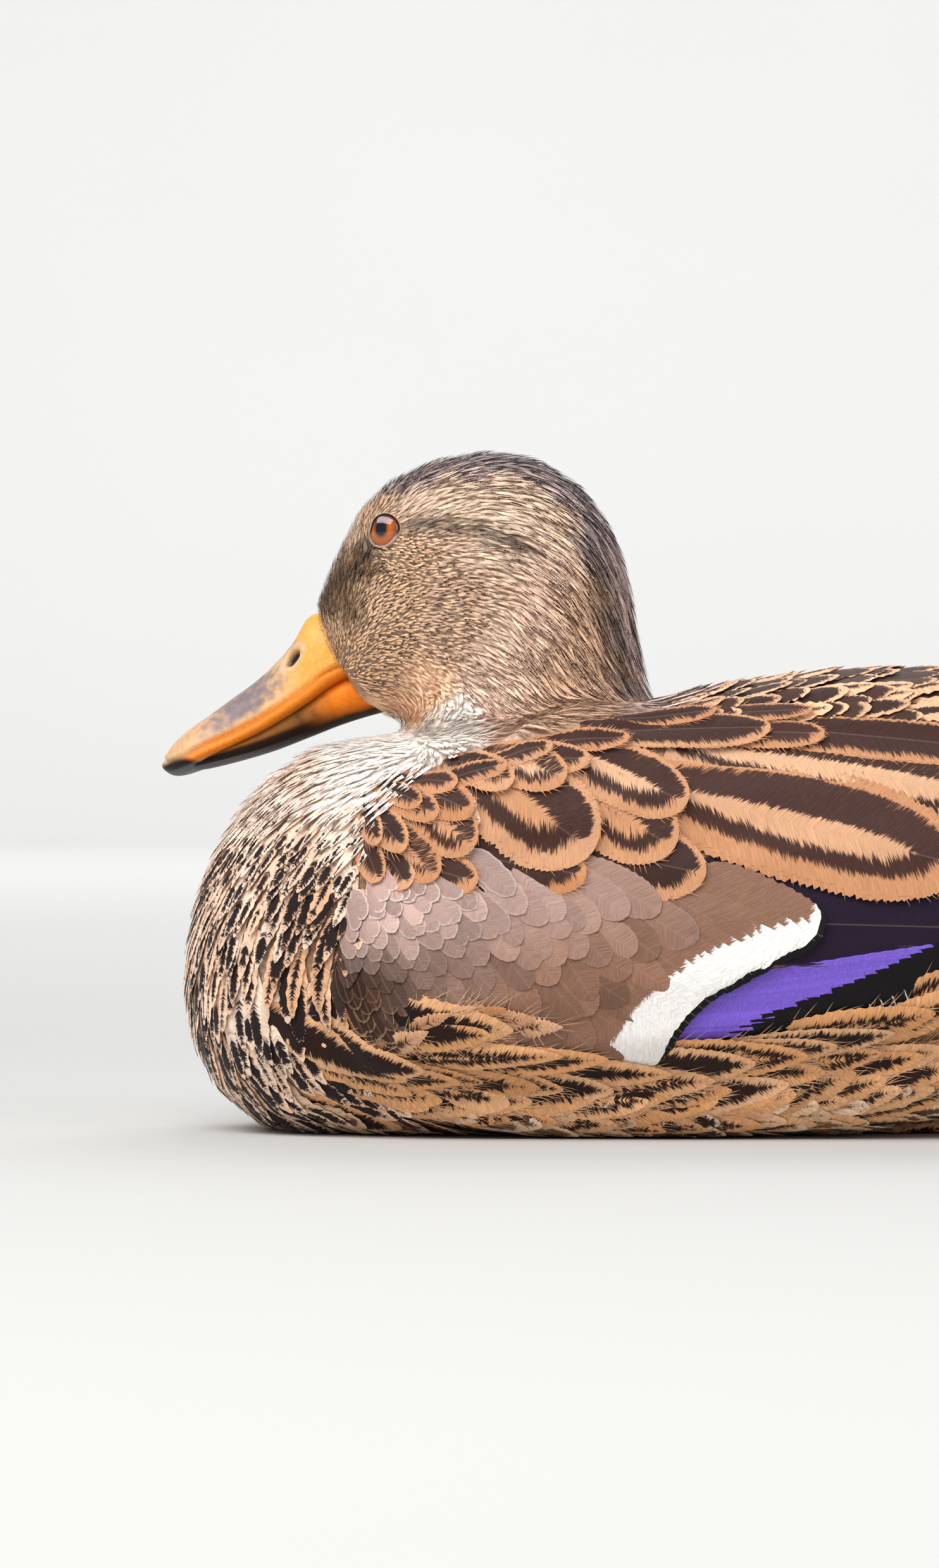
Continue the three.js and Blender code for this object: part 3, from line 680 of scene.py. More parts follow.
# ---- Skin ----
# the bare bill's outline in the frame, from the forehead down the feathering's edge and round the tip
BARE_BILL = [
    (480, 925), (494, 940), (499, 985), (505, 1020), (519, 1050), (545, 1064), (561, 1085), (586, 1105),
    (596, 1128), (562, 1150), (500, 1180), (452, 1204), (400, 1220), (350, 1236), (300, 1250), (240, 1250),
    (240, 1170), (440, 940),
]
skin_map = {}  # the skin's tree, its faces' corners and their places on its bake map


def inside(q, outline):
    """Whether frame places lie inside an outline."""
    x, y = q[:, 0], q[:, 1]
    odd = np.zeros(len(q), bool)
    for (ax, ay), (bx, by) in zip(outline, outline[1:] + outline[:1]):
        if ay != by:
            odd ^= ((ay > y) != (by > y)) & (x < (bx - ax) * (y - ay) / (by - ay) + ax)
    return odd


def make_skin():
    """The skin under the feather tips, in the coat's own colours, dark and pale blended by their shares."""
    points = OUTER.points - OUTER.normals * depth_at(OUTER.points)[:, None]
    points = smoothed(points, OUTER.faces, 2)
    points[:, 2] = np.maximum(points[:, 2], FLOOR + 0.2)
    # the skin stops a little way under the bill's base
    q = frame_place(OUTER.points)
    faces = OUTER.faces[~inside(q + np.array([25, 0]), BARE_BILL)[OUTER.faces].all(1)]
    mesh = bpy.data.meshes.new("skin")
    mesh.from_pydata((points * MM).tolist(), [], faces.tolist())
    mesh.shade_smooth()
    obj = bpy.data.objects.new("skin", mesh)
    bpy.context.collection.objects.link(obj)
    kinds = coat_at(OUTER.points)[2]
    store(mesh, "markings", mixed(kinds[:, 3:6], kinds[:, 0:3], kinds[:, 6:7] * 0.8))
    bpy.context.view_layer.objects.active = obj
    obj.select_set(True)
    bpy.ops.object.mode_set(mode="EDIT")
    bpy.ops.mesh.select_all(action="SELECT")
    bpy.ops.uv.smart_project(angle_limit=math.radians(66), island_margin=0.004)
    bpy.ops.object.mode_set(mode="OBJECT")
    obj.select_set(False)
    mesh.uv_layers[0].name = "OFBake"
    uv = np.empty(len(mesh.loops) * 2)
    mesh.uv_layers["OFBake"].uv.foreach_get("vector", uv)
    skin_map["uv"] = uv.reshape(-1, 4, 2)
    skin_map["tree"] = BVHTree.FromPolygons(points.tolist(), faces.tolist())
    skin_map["corners"] = points[faces]
    n = Nodes("skin")
    patchy = n.ramp(n.noise(n.place(), 900.0), 0.3, 0.7, 0.7, 1.15)
    n.set(Base_Color=n.toned(n.value("markings", "Color"), patchy), Roughness=0.85,
          Normal=n.bump(n.noise(n.place(), 1600.0), 0.4, 0.0005))
    mesh.materials.append(n.material)
    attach(obj, "root")
    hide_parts(*FLESH)


def skin_place(roots):
    """Each root's place on the skin's bake map."""
    found = np.empty((len(roots), 2))
    corners = skin_map["corners"]
    for i, p in enumerate(roots.tolist()):
        face = skin_map["tree"].find_nearest(p)[2]
        near = 1 / (np.linalg.norm(corners[face] - p, axis=1) + 0.05)
        found[i] = near @ skin_map["uv"][face] / near.sum()
    return found


make_skin()

# ---- Small body feathers, scattered evenly over the whole surface ----
# dark lines over the head: half-width and fade in frame pixels, strength, then the places
DARK_LINES = [
    (4, 12, 0.9, [(632, 832), (675, 826), (717, 830), (761, 838), (800, 851), (850, 874)]),
    (7, 7, 1.0, [(588, 834), (581, 856), (574, 880), (562, 908)]),
    (6, 12, 1.0, [(588, 850), (569, 882), (550, 905), (524, 930), (508, 950)]),
    (10, 16, 0.7, [(1000, 1110), (982, 1060), (974, 1004), (966, 949), (957, 890), (940, 850)]),
    (14, 16, 0.45, [(590, 762), (640, 732), (700, 716), (770, 712), (850, 722), (920, 760)]),
]
# pale lines over the head, the same way
PALE_LINES = [
    (12, 20, 0.8, [(640, 800), (700, 797), (760, 806), (820, 830)]),
    (12, 26, 0.7, [(739, 868), (788, 910), (806, 950), (800, 1000), (776, 1040)]),
    (3, 5, 0.7, [(622, 872), (606, 876), (590, 866)]),
]
# where the large feathers of the wing, shoulder and flank leave no room for small ones
LARGE_FEATHERS = [
    (560, 1345), (590, 1320), (620, 1290), (660, 1270), (700, 1245), (750, 1215), (800, 1192), (850, 1180),
    (900, 1170), (950, 1164), (1000, 1158), (1060, 1150), (1130, 1138), (1284, 1124), (1484, 1150),
    (1640, 1170), (1720, 1220), (1750, 1300), (1700, 1400), (1680, 1500), (1640, 1620), (1500, 1690),
    (1200, 1725), (1000, 1745), (800, 1745), (680, 1735), (640, 1700), (590, 1680), (560, 1640), (534, 1580),
    (530, 1520), (545, 1470), (590, 1420), (570, 1380),
]
MIDDLE_STRIP = 28  # half the width of the back's middle, which has small feathers all along
BEHIND_NAPE = 850  # frame x past which small feathers also fill the gap above the scapulars
FACE_SPACING, BODY_SPACING = 1.45, 2.6  # the coat's pieces end and begin at these spacings
EYE_CENTRE = np.array([NECK_AXIS_X - 31.3 * math.cos(YAW), 14.6, 147.5])  # before the head's turn
EYE_RADIUS = 6.2
# the lids' opening: the direction across the eye in degrees (0 tailward, 90 up), then the half-angle there
LID_TURNS = (0, 45, 90, 135, 180, 222, 249, 315)
LID_HALVES = (35.0, 34.0, 35.0, 31.0, 27.5, 47.0, 43.0, 30.5)
LID_WIDTH = 1.0  # the bare lid's width in degrees


def eye_frame(side):
    """The eye's centre, its outward axis, and the directions tailward and up across it."""
    centre = turned(EYE_CENTRE * np.array([1, side, 1]), 1.0)
    axis = turned(np.array([NECK_AXIS_X, float(side), 0.0]), 1.0) - np.array([NECK_AXIS_X, 0, 0])
    axis = unit(axis + np.array([0, 0, 0.06]))
    back = unit(np.cross(axis, np.array([0, 0, 1.0])) * -side)
    back = back * np.sign(back[0])
    return centre, axis, back, np.cross(back, axis) * np.sign(np.cross(back, axis)[2])


def lid_half(turn):
    """The half-angle of the opening between the lids, in degrees, at directions in radians."""
    before, here, after = (
        np.interp(np.degrees(turn) + shift, LID_TURNS, LID_HALVES, period=360) for shift in (-14, 0, 14)
    )
    return (before + 2 * here + after) / 4


def past_lids(way, side):
    """How many degrees directions from an eye's centre lie outside the opening between its lids."""
    _, axis, back, up = eye_frame(side)
    away = np.degrees(np.arccos(np.clip(way @ axis, -1, 1)))
    return away - lid_half(np.arctan2(way @ up, way @ back))


def line_share(q, half, fade, strength, places):
    """How much of a line's colour shows at frame places: its strength on the line, 0 away from it."""
    nearest = np.full(len(q), 1e9)
    places = np.array(places, float)
    for a, b in zip(places[:-1], places[1:]):
        t = np.clip((q - a) @ (b - a) / ((b - a) @ (b - a)), 0, 1)
        nearest = np.minimum(nearest, np.linalg.norm(q - a - t[:, None] * (b - a), axis=1))
    return strength * step(half + fade, half, nearest)


def under_large(p, q):
    """Whether surface points, at frame places, lie where the large feathers are, off the bird's middle."""
    return inside(q, LARGE_FEATHERS) & (np.abs(p[:, 1]) > MIDDLE_STRIP)


def scattered():
    """Roots over the outer surface, further apart where the feathers are larger."""
    corners = OUTER.points[OUTER.faces]
    middle = corners.mean(1)
    area = np.linalg.norm(across_faces(corners), axis=1) / 2
    _, spacing, _, q = coat_at(middle)
    area[under_large(middle, q)] = 0
    number = rng.poisson(area / spacing**2 * 2.6)
    face = np.repeat(np.arange(len(area)), number)
    a, b = rng.random((2, len(face), 1))
    c = corners[face]
    spots = mixed(mixed(c[:, 0], c[:, 1], a), mixed(c[:, 3], c[:, 2], a), b)
    order = rng.permutation(len(spots))
    spots, spacing = spots[order], spacing[face][order]
    tree = KDTree(len(spots))
    for i, p in enumerate(spots.tolist()):
        tree.insert(p, i)
    tree.balance()
    # each spot that is still there clears the later ones that stand too near
    alive = np.ones(len(spots), bool)
    for i, p in enumerate(spots.tolist()):
        if alive[i]:
            for _, j, _ in tree.find_range(p, spacing[i] * 0.82):
                if j > i:
                    alive[j] = False
    return spots[alive]


def body_coat():
    """The small feathers, in three pieces: the face, the neck, and the rest of the body."""
    root = scattered()
    keep = ~inside(frame_place(root) + rng.normal(0, 3.0, (len(root), 2)), BARE_BILL)
    way, spacing, _, q = coat_at(root)
    over_large = spacing > np.where(q[:, 0] > BEHIND_NAPE, 2.3, 3.0)
    for reach in (1.2, 2.4, 3.6, 4.8):
        tip = root + way * (reach * spacing)[:, None]
        keep &= over_large | ~under_large(tip, frame_place(tip))
    for side in (-1, 1):
        keep &= past_lids(unit(root - eye_frame(side)[0]), side) > LID_WIDTH
    root = root[keep]
    way, spacing, kinds, q = coat_at(root, 5.0)
    # the lie parts round the eyes
    for side in (-1, 1):
        off = root - eye_frame(side)[0]
        near = step(11, 6, np.linalg.norm(off, axis=1))[:, None]
        inward = np.minimum(dots(way, unit(off)), 0.25)
        way = way + unit(off) * (0.25 - inward) * near
    count = len(root)
    depth = depth_at(root)
    share, start, end, ragged, longer, wider = kinds[:, 6:].T
    length = spacing * longer * rng.uniform(0.8, 1.2, count)
    width = spacing * wider * rng.uniform(0.85, 1.15, count)
    tip = frame_place(root + way * (length * 0.7)[:, None]) + rng.normal(0, 3.5, (count, 2))
    sunk = 0.9 * (under_large(root, tip) & (q[:, 0] > BEHIND_NAPE))
    small = step(BODY_SPACING, 1.6, spacing)
    jitter = np.radians(rng.normal(0, mixed(8, 9, small)))
    normal = OUTER.at(root)[1]
    way = laid(way, normal)
    way = way * np.cos(jitter)[:, None] + np.cross(normal, way) * np.sin(jitter)[:, None]
    dark, pale = tinted(kinds[:, 0:3], 0.15), tinted(kinds[:, 3:6], 0.10)
    cream = rng.random((count, 1)) ** 3 * 0.65 * step(1170, 1300, q[:, 1:])
    pale = mixed(pale, linear((0.98, 0.92, 0.86)), cream)
    sparse = mixed(0.25, 0.6, np.clip((pale.mean(1) - 0.42) * 3, 0, 1))
    plain = small * (rng.random(count) < sparse * 0.8) * rng.uniform(0.2, 1.0, count)
    dark = mixed(dark, pale, plain[:, None])
    dusk = np.max([line_share(tip, *line) for line in DARK_LINES], 0)[:, None]
    light = np.max([line_share(tip, *line) for line in PALE_LINES], 0)[:, None]
    pale = mixed(pale, mixed(linear((0.96, 0.87, 0.77)), pale, rng.random((count, 1)) * 0.6), light)
    dark = mixed(dark, pale, light * 0.55)
    pale = mixed(pale, linear((0.15, 0.10, 0.09)), dusk * rng.uniform(0.55, 1.0, (count, 1)))
    dark = mixed(dark, linear((0.07, 0.05, 0.05)), dusk)
    look = look_of(count, dark, pale, None, (0, 99, 199), ragged)
    wide_fine, wide_body = rng.uniform(0.7, 1.3, count), rng.choice([0.45, 0.9, 1.1, 1.35], count)
    wide = share * np.where(small > 0.1, wide_fine, wide_body)
    mark = np.stack([wide, start + rng.normal(0, 0.08, count), end + rng.normal(0, 0.03, count)])
    fine = dict(cols=2, blunt=1.3, widest=0.4)
    body = dict(rows=13, cols=4, blunt=1.7, widest=0.55, cup=0.3, teeth=0.3)
    on_face, on_body = spacing < FACE_SPACING, spacing >= BODY_SPACING
    for name, slot, pick, material, shape in (
        ("coat_face", "face", on_face, FINE, dict(fine, rows=4)),
        ("coat_neck", "face", ~(on_face | on_body), FINE, dict(fine, rows=5)),
        ("coat_body", "plumage", on_body, BODY, body),
    ):
        lift = rng.uniform(-0.15, 0.25, pick.sum())
        group = vanes(root[pick], way[pick], length[pick], width[pick], look[pick], low=-0.8 * depth[pick],
                      high=lift - sunk[pick], follow=0.25, mark=mark[:, pick], sweep=0.2, **shape)
        piece_from(name, [group], material)


body_coat()


# ---- Large feathers, placed by their tips in the camera's frame, and mirrored to the right side ----
def placed(px, py, angle, length, width, look, low, high, **shape):
    """Vanes on the left side whose tips are at places of the frame, pointing at angles of the side view."""
    a = np.radians(each(angle, len(px)))
    root, back = walk(from_frame(px, py), -np.stack([np.cos(a), 0 * a, np.sin(a)], -1), length)
    return vanes(root, -back, length, width, look, low=low, high=high, **shape)


def on_curve(curve, share):
    """Points at shares of a polyline's length, and that length."""
    curve = np.asarray(curve, float)
    run = np.concatenate([[0], np.cumsum(np.linalg.norm(np.diff(curve, axis=0), axis=1))])
    return np.stack([np.interp(share * run[-1], run, curve[:, k]) for k in (0, 1)], -1), run[-1]


def loose_barbs(made, every, reach, rgb, side=0, thick=0.22, keep=0.85):
    """Fine separate barb tips along one edge of each vane: side 0 is the lower edge, -1 the upper."""
    points = made["points"]
    inner = 1 if side == 0 else -2
    rows = np.arange(3, points.shape[1] - 2, every)
    edge, within, ahead = points[:, rows, side], points[:, rows, inner], points[:, rows + 1, side]
    root = mixed(edge, within, 0.45).reshape(-1, 3)
    way = unit(unit(edge - within) * 0.38 + unit(ahead - edge) * 0.92).reshape(-1, 3)
    pick = rng.random(len(root)) < keep
    root, way = root[pick], way[pick]
    height = OUTER.at(root)[0] + 0.08
    tone = shades(rgb, len(root), 0.1)
    look = look_of(len(root), tone, tone, None, (0.1, 99, 199), 0.1)
    length = reach * rng.uniform(0.5, 1.25, len(root))
    return vanes(root, way, length, thick, look, rows=3, cols=2, low=height - 0.15, high=height + 0.15,
                 blunt=1.2, widest=0.3, base=0.8)


DARK, BUFF, CREAM = (0.25, 0.145, 0.115), (0.775, 0.525, 0.35), (0.95, 0.80, 0.66)
TAUPE, SILVER, WHITE = (0.555, 0.405, 0.325), (0.87, 0.79, 0.76), (0.98, 0.97, 0.95)
BLACK, VIOLET, NIGHT = (0.04, 0.025, 0.035), (0.50, 0.38, 0.83), (0.10, 0.03, 0.13)

# tip in the frame, angle, then in mm: length, width, fringe, start and end of the inner loop (99 where
# there is none), and height
SCAPULARS = [
    (1522, 1376, -17, 76, 30, 5.4, 9.4, 14.5, 0.9), (1650, 1282, -12, 92, 21, 3.8, 6.2, 10.2, 0.8),
    (1620, 1196, -9, 80, 13, 1.8, 99, 99, 1.3), (1760, 1335, -10, 86, 24, 3.0, 6.5, 9.0, 0.3),
    (1860, 1270, -10, 80, 22, 3.0, 7.0, 9.5, 0.5), (1800, 1200, -10, 66, 18, 2.2, 99, 99, 0.9),
    (1213, 1166, -9, 46, 13, 1.7, 99, 99, 1.6), (1303, 1160, -6, 32, 9.5, 1.5, 99, 99, 1.3),
    (1284, 1124, -4, 34, 7, 1.0, 99, 99, 1.7), (1130, 1124, 4, 26, 7, 1.2, 99, 99, 1.8),
    (992, 1166, 8, 26, 7.5, 1.4, 99, 99, 1.6), (872, 1180, 14, 24, 6.5, 1.2, 99, 99, 1.6),
    (1115, 1391, -15, 42, 20, 2.6, 99, 99, 0.3), (1062, 1345, -36, 32, 21, 3.0, 6.2, 9.2, 0.7),
    (1084, 1272, -30, 34, 18, 2.4, 5.8, 8.4, 1.1), (925, 1386, -12, 36, 15, 2.2, 99, 99, 0.4),
    (930, 1345, -38, 36, 27, 4.0, 8.6, 12.4, 0.9), (888, 1238, -28, 24, 14, 2.2, 4.4, 6.4, 1.4),
    (806, 1242, -36, 18, 11, 2.2, 99, 99, 1.2), (745, 1288, -30, 20, 11, 2.4, 99, 99, 1.0),
    (742, 1338, -42, 22, 15, 2.2, 4.6, 6.6, 0.9), (752, 1396, -18, 27, 12, 2.4, 99, 99, 0.5),
    (686, 1384, -45, 18, 12, 2.0, 3.8, 5.4, 0.7), (640, 1402, -55, 15, 10, 2.0, 99, 99, 0.6),
    (598, 1392, -62, 13, 8, 1.6, 99, 99, 0.6), (690, 1292, -36, 16, 9, 2.0, 99, 99, 0.9),
    (640, 1342, -46, 15, 9, 2.0, 99, 99, 0.8), (600, 1332, -52, 13, 7, 1.5, 99, 99, 0.8),
    (722, 1242, -22, 17, 8, 1.8, 99, 99, 1.1), (665, 1272, -36, 14, 7, 1.5, 99, 99, 0.9),
    (800, 1210, 6, 18, 7, 1.5, 99, 99, 1.4), (930, 1205, -10, 26, 10, 1.8, 99, 99, 1.5),
]


def scapular_feathers():
    """The shoulder's feathers, dark with a buff fringe and, on the larger ones, an inner loop."""
    count = len(SCAPULARS)
    px, py, angle, length, width, fringe, start, end, height = np.array(SCAPULARS, float).T
    fringe = fringe * np.where(length < 46, 1.2, 1.05)
    length = length * np.where(length < 22, 1.3, 1.0)
    start = np.maximum(start, fringe + 1.4)
    end = np.where(start > 90, 199, np.maximum(end, start + 1.2))
    bands = np.stack([fringe, start, end], 1)
    pale, loop = between(BUFF, CREAM, 0, 0.35, count), between(BUFF, CREAM, 0, 0.55, count)
    look = look_of(count, shades(DARK, count, 0.12), pale, loop, bands, 1.5)
    groups = []
    for pick, rows in ((length > 60, 90), ((length <= 60) & (length > 24), 56), (length <= 24, 36)):
        made = placed(px[pick], py[pick], angle[pick], length[pick], width[pick], look[pick],
                      low=height[pick] * 0.5 - 2.2, high=height[pick] * 0.5, rows=rows, cols=8, teeth=0.08,
                      cup=0.35, blunt=2.2, widest=0.62, base=0.45, lower_loop=True)
        groups += [made, loose_barbs(made, 1, 2.6, BUFF), loose_barbs(made, 1, 2.2, BUFF, side=-1, keep=0.6)]
    return groups


# the covered part of the wing in the frame: its front edge at the wrist, and the edge with the white bar
FRONT_EDGE = [
    (612, 1405), (566, 1446), (544, 1480), (534, 1520), (534, 1560), (544, 1600), (562, 1632), (590, 1662),
]
BAR_EDGE = [(1294, 1474), (1240, 1500), (1180, 1534), (1125, 1566), (1085, 1605), (1058, 1642), (1030, 1690)]
COVERT_ROWS = 15
SIDE_SCALE = 6.5  # frame pixels for each mm of the bird's side


def covert_feathers():
    """Rows of wing coverts that grow from the wrist to the greater coverts' white bar."""
    groups = []
    # the rows stand further apart towards the bar; the last but one is black-tipped, lies under the
    # white-tipped one and reaches beyond it, as the bar's black rear edge
    steps = np.cumsum((4 ** (1 / (COVERT_ROWS - 1))) ** np.arange(COVERT_ROWS))
    plan = [(row, g, None, 0.0) for row, g in enumerate((steps / steps[-1])[:-1])]
    plan += [(COVERT_ROWS - 1, 1.0, BLACK, 1.7), (COVERT_ROWS - 1, 1.0, WHITE, 0.0)]
    for row, g, tip, beyond in plan:
        width = mixed(4.6, 13.5, g)
        run = mixed(on_curve(FRONT_EDGE, 0)[1], on_curve(BAR_EDGE, 0)[1], g) / SIDE_SCALE
        count = max(5, round(run / (width * (0.18 if tip else 0.7))))
        t = (np.arange(count) + 0.5 * (row % 2) + 0.25 + rng.uniform(-0.12, 0.12, count)) / count
        spots = mixed(on_curve(FRONT_EDGE, t)[0], on_curve(BAR_EDGE, t)[0], g)
        if not tip:
            spots = spots + rng.normal(0, 4 + 9 * g, spots.shape)
        angle = mixed(mixed(-46, -74, t), mixed(-27, -44, t), g) + rng.normal(0, 3 if tip else 6, count)
        a = np.radians(angle)
        spots = spots + beyond * SIDE_SCALE * np.stack([np.cos(a), -np.sin(a)], -1)
        grey = np.clip((1 - g) * 1.5 - t * 0.9, 0, 1)[:, None]
        deep = (np.clip(1.2 - g * 2.2, 0, 1) * np.clip((t - 0.34) * 3.6, 0, 1))[:, None]
        dark = mixed(linear(TAUPE), linear((0.72, 0.60, 0.56)), grey)
        dark = tinted(mixed(dark, linear((0.22, 0.12, 0.06)), deep), 0.02 if tip else 0.17)
        shine = np.clip(1.1 - 2.6 * g, 0, 1) * np.clip(1.3 - 2.4 * t, 0, 1)[:, None]
        rim = np.clip(1 - 2.4 * g, 0, 1) * np.clip(3 * t - 1.8, 0, 1)[:, None]
        pale = mixed(mixed(dark * 1.08, linear(SILVER), shine), linear((0.66, 0.52, 0.40)), rim)
        if tip:
            tip_depth = np.interp(t, (0, 0.15, 0.35, 0.7, 1), (2.6, 5.2, 7.6, 9.6, 12.5)) + beyond
            bands = np.stack([tip_depth, 0 * t + 99, 0 * t + 199], 1)
            look = look_of(count, dark, linear(tip), None, bands, 1.1)
            shape = dict(blunt=3.5, widest=0.75, tip_bands=True)
        else:
            look = look_of(count, dark, pale, None, (mixed(0.5, 0.7, g), 99, 199), mixed(0.3, 0.6, g))
            shape = dict(blunt=2.3, widest=0.6)
        rows, cols = (24, 6) if g > 0.4 else (10, 4)
        made = placed(*spots.T, angle, mixed(9, 30, g) + beyond, width, look, low=-0.9,
                      high=0.4 if tip == WHITE else 0.1, cup=0.3, rows=rows, cols=cols, teeth=0.1, **shape)
        groups.append(made)
        if g > 0.3 and not tip:
            groups.append(loose_barbs(made, 4, 1.6, (0.54, 0.44, 0.37), keep=0.3, thick=0.2))
    return groups


def secondary_feathers():
    """The folded secondaries: violet-blue with black and white tips, then the violet-black inner ones."""
    count = 22
    tips = [(1225, 1694), (1330, 1636), (1420, 1604), (1490, 1576), (1600, 1520)]
    line, _ = on_curve(tips, np.linspace(0, 1, count))
    dark, violet = shades(BLACK, count, 0.1), shades(VIOLET, count, 0.08)
    look = look_of(count, dark, linear(WHITE), violet, (0.6, 17.5, 60), 0.4)
    outer = placed(*line.T, np.linspace(4, 8, count), 64, 15, look, low=-2.1,
                   high=np.linspace(-1.3, -0.7, count), rows=40, cols=6, teeth=0.03, tip_bands=True,
                   blunt=4.0, widest=0.85, base=0.8)
    line = np.array([(1640, 1468), (1720, 1446), (1790, 1424)])
    look = look_of(3, shades(NIGHT, 3, 0.1), linear((0.22, 0.14, 0.22)), None, (0.5, 99, 199), 0.3)
    inner = placed(*line.T, [-2, -4, -6], [88, 92, 94], 21, look, low=-2.2, high=[-0.9, -0.7, -0.5], rows=60,
                   cols=6, teeth=0.03, blunt=2.4, widest=0.7, base=0.8)
    return [outer, inner]


# rows of long flank feathers: the tips' curve in the frame, the angles at its ends, count, then in mm:
# length, width and height
FLANK_ROWS = [
    ([(600, 1774), (1100, 1790), (1500, 1776), (1800, 1672)], -6, 16, 15, 36, 13, -0.5),
    ([(640, 1750), (1100, 1760), (1500, 1716), (1820, 1620)], -12, 22, 15, 38, 13, -0.2),
    ([(600, 1725), (860, 1745), (1150, 1740), (1450, 1695), (1790, 1600)], -14, 24, 17, 40, 13, 0.2),
    ([(620, 1705), (760, 1710), (950, 1722), (1150, 1714), (1420, 1665), (1790, 1570)],
     -10, 24, 18, 42, 12, 0.5),
    ([(660, 1688), (750, 1640), (830, 1634), (930, 1680), (1130, 1694), (1350, 1648), (1490, 1592),
      (1620, 1530), (1800, 1490)], 0, 22, 16, 40, 12, 0.9),
]


def flank_feathers():
    """Rows of long loose feathers over the wing's lower edge, with fine barbs along both sides."""
    groups = []
    for curve, first, last, count, length, width, height in FLANK_ROWS:
        t = (np.arange(count) + 0.5 + rng.uniform(-0.3, 0.3, count)) / count
        spots = on_curve(curve, t)[0] + rng.normal(0, 7, (count, 2))
        angle = mixed(first, last, t) + rng.normal(0, 6, count)
        lengths, widths = (size * rng.uniform(0.8, 1.2, count) for size in (length, width))
        dark, pale = shades((0.14, 0.06, 0.03), count, 0.25), shades((0.87, 0.62, 0.40), count, 0.1)
        pale = mixed(pale, linear(CREAM), rng.uniform(0, 0.45, (count, 1)))
        fringe = widths * rng.uniform(0.14, 0.27, count)
        looped = np.where(rng.random(count) < 0.5, fringe + 2.2, 99)
        look = look_of(count, dark, pale, pale, np.stack([fringe, looped, looped + 1.6], 1), 1.8)
        made = placed(*spots.T, angle, lengths, widths, look, low=height - 2.4, high=height + 0.3, rows=34,
                      cols=8, teeth=0.1, blunt=1.6, widest=0.45, cup=0.5, arch=0.5, streak=True)
        fine = (0.84, 0.67, 0.52)
        groups += [made, loose_barbs(made, 1, 6.0, fine, thick=0.17, keep=0.8),
                   loose_barbs(made, 1, 5.0, fine, side=-1, thick=0.17, keep=0.7)]
    return groups + wisps()


def wisps():
    """Loose downy feathers that curl up over the wing's lower edge."""
    spots = np.array([(676, 1628), (712, 1600), (752, 1590), (800, 1592), (846, 1608), (890, 1622)])
    count = len(spots)
    pale = between(BUFF, CREAM, 0, 0.45, count)
    look = look_of(count, linear((0.30, 0.17, 0.09)), pale, pale, (2.9, 99, 199), 2.6)
    made = placed(*spots.T, np.linspace(34, 2, count), rng.uniform(15, 24, count), 8.5, look, low=-1.4,
                  high=0.9, rows=30, cols=6, teeth=0.45, blunt=1.3, widest=0.4, cup=0.5, arch=0.4,
                  streak=True)
    fine = (0.90, 0.74, 0.58)
    return [made, loose_barbs(made, 2, 5.0, fine, thick=0.13, keep=0.6),
            loose_barbs(made, 2, 6.0, fine, side=-1, thick=0.13, keep=0.6)]


def fan(count, first, last):
    """Even shares from -1 to 1 and a blend between two values, from the middle of a fan to its sides."""
    share = np.linspace(-1, 1, count)
    return share, mixed(np.asarray(first, float), np.asarray(last, float), np.abs(share)[:, None])


# rows of tail feathers and their coverts: count, roots and tips in the middle and at the sides, how far
# roots and tips spread, width, dark and pale colours, bands
TAIL_ROWS = [
    (17, (118, 0, 84.0), (112, 0, 80.0), (169.5, 0, 81.4), (150, 0, 80.4), 12, 35, 14,
     (0.30, 0.21, 0.16), (0.90, 0.82, 0.72), (1.0, 3.6, 5.2)),
    (13, (112, 0, 92.0), (108, 0, 86.0), (160, 0, 84.6), (142, 0, 82.6), 10, 30, 12,
     (0.15, 0.10, 0.09), (0.80, 0.62, 0.45), (1.8, 4.6, 6.0)),
    (11, (104, 0, 97.0), (100, 0, 90.0), (150, 0, 87.4), (132, 0, 85.2), 9, 26, 11,
     (0.13, 0.09, 0.08), (0.78, 0.60, 0.43), (1.6, 99, 199)),
    (11, (96, 0, 70.0), (94, 0, 74.0), (160, 0, 78.6), (146, 0, 79.4), 9, 27, 13,
     (0.24, 0.16, 0.12), (0.93, 0.84, 0.73), (3.2, 99, 199)),
    (9, (84, 0, 62.0), (82, 0, 66.0), (146, 0, 72.0), (134, 0, 75.0), 9, 24, 12,
     (0.24, 0.16, 0.12), (0.92, 0.82, 0.70), (3.2, 99, 199)),
]


def tail_feathers():
    """The tail's fan, with the coverts that lie above and below its base."""
    side = np.array([0, 1.0, 0])
    groups = []
    for count, root_in, root_out, tip_in, tip_out, near, wide, width, dark, pale, bands in TAIL_ROWS:
        share, root = fan(count, root_in, root_out)
        _, tip = fan(count, tip_in, tip_out)
        order = np.argsort(-np.abs(share))
        share, root, tip = share[order], root[order], tip[order]
        root, tip = root + side * (share * near)[:, None], tip + side * (share * wide)[:, None]
        tip = tip + rng.normal(0, 0.5, tip.shape) * [1, 1, 0]
        across = np.broadcast_to(side, root.shape) + np.array([0, 0, 0.10]) * -share[:, None]
        pale = mixed(linear(pale), linear((0.95, 0.91, 0.86)), np.abs(share)[:, None] * 0.5)
        look = look_of(count, shades(dark, count, 0.1), pale, None, bands, 1.0)
        groups.append(quills(root, tip, across, across, width, look, cup=0.35, rows=40, cols=8, blunt=1.9,
                             widest=0.7, base=0.7, teeth=0.08))
    return groups


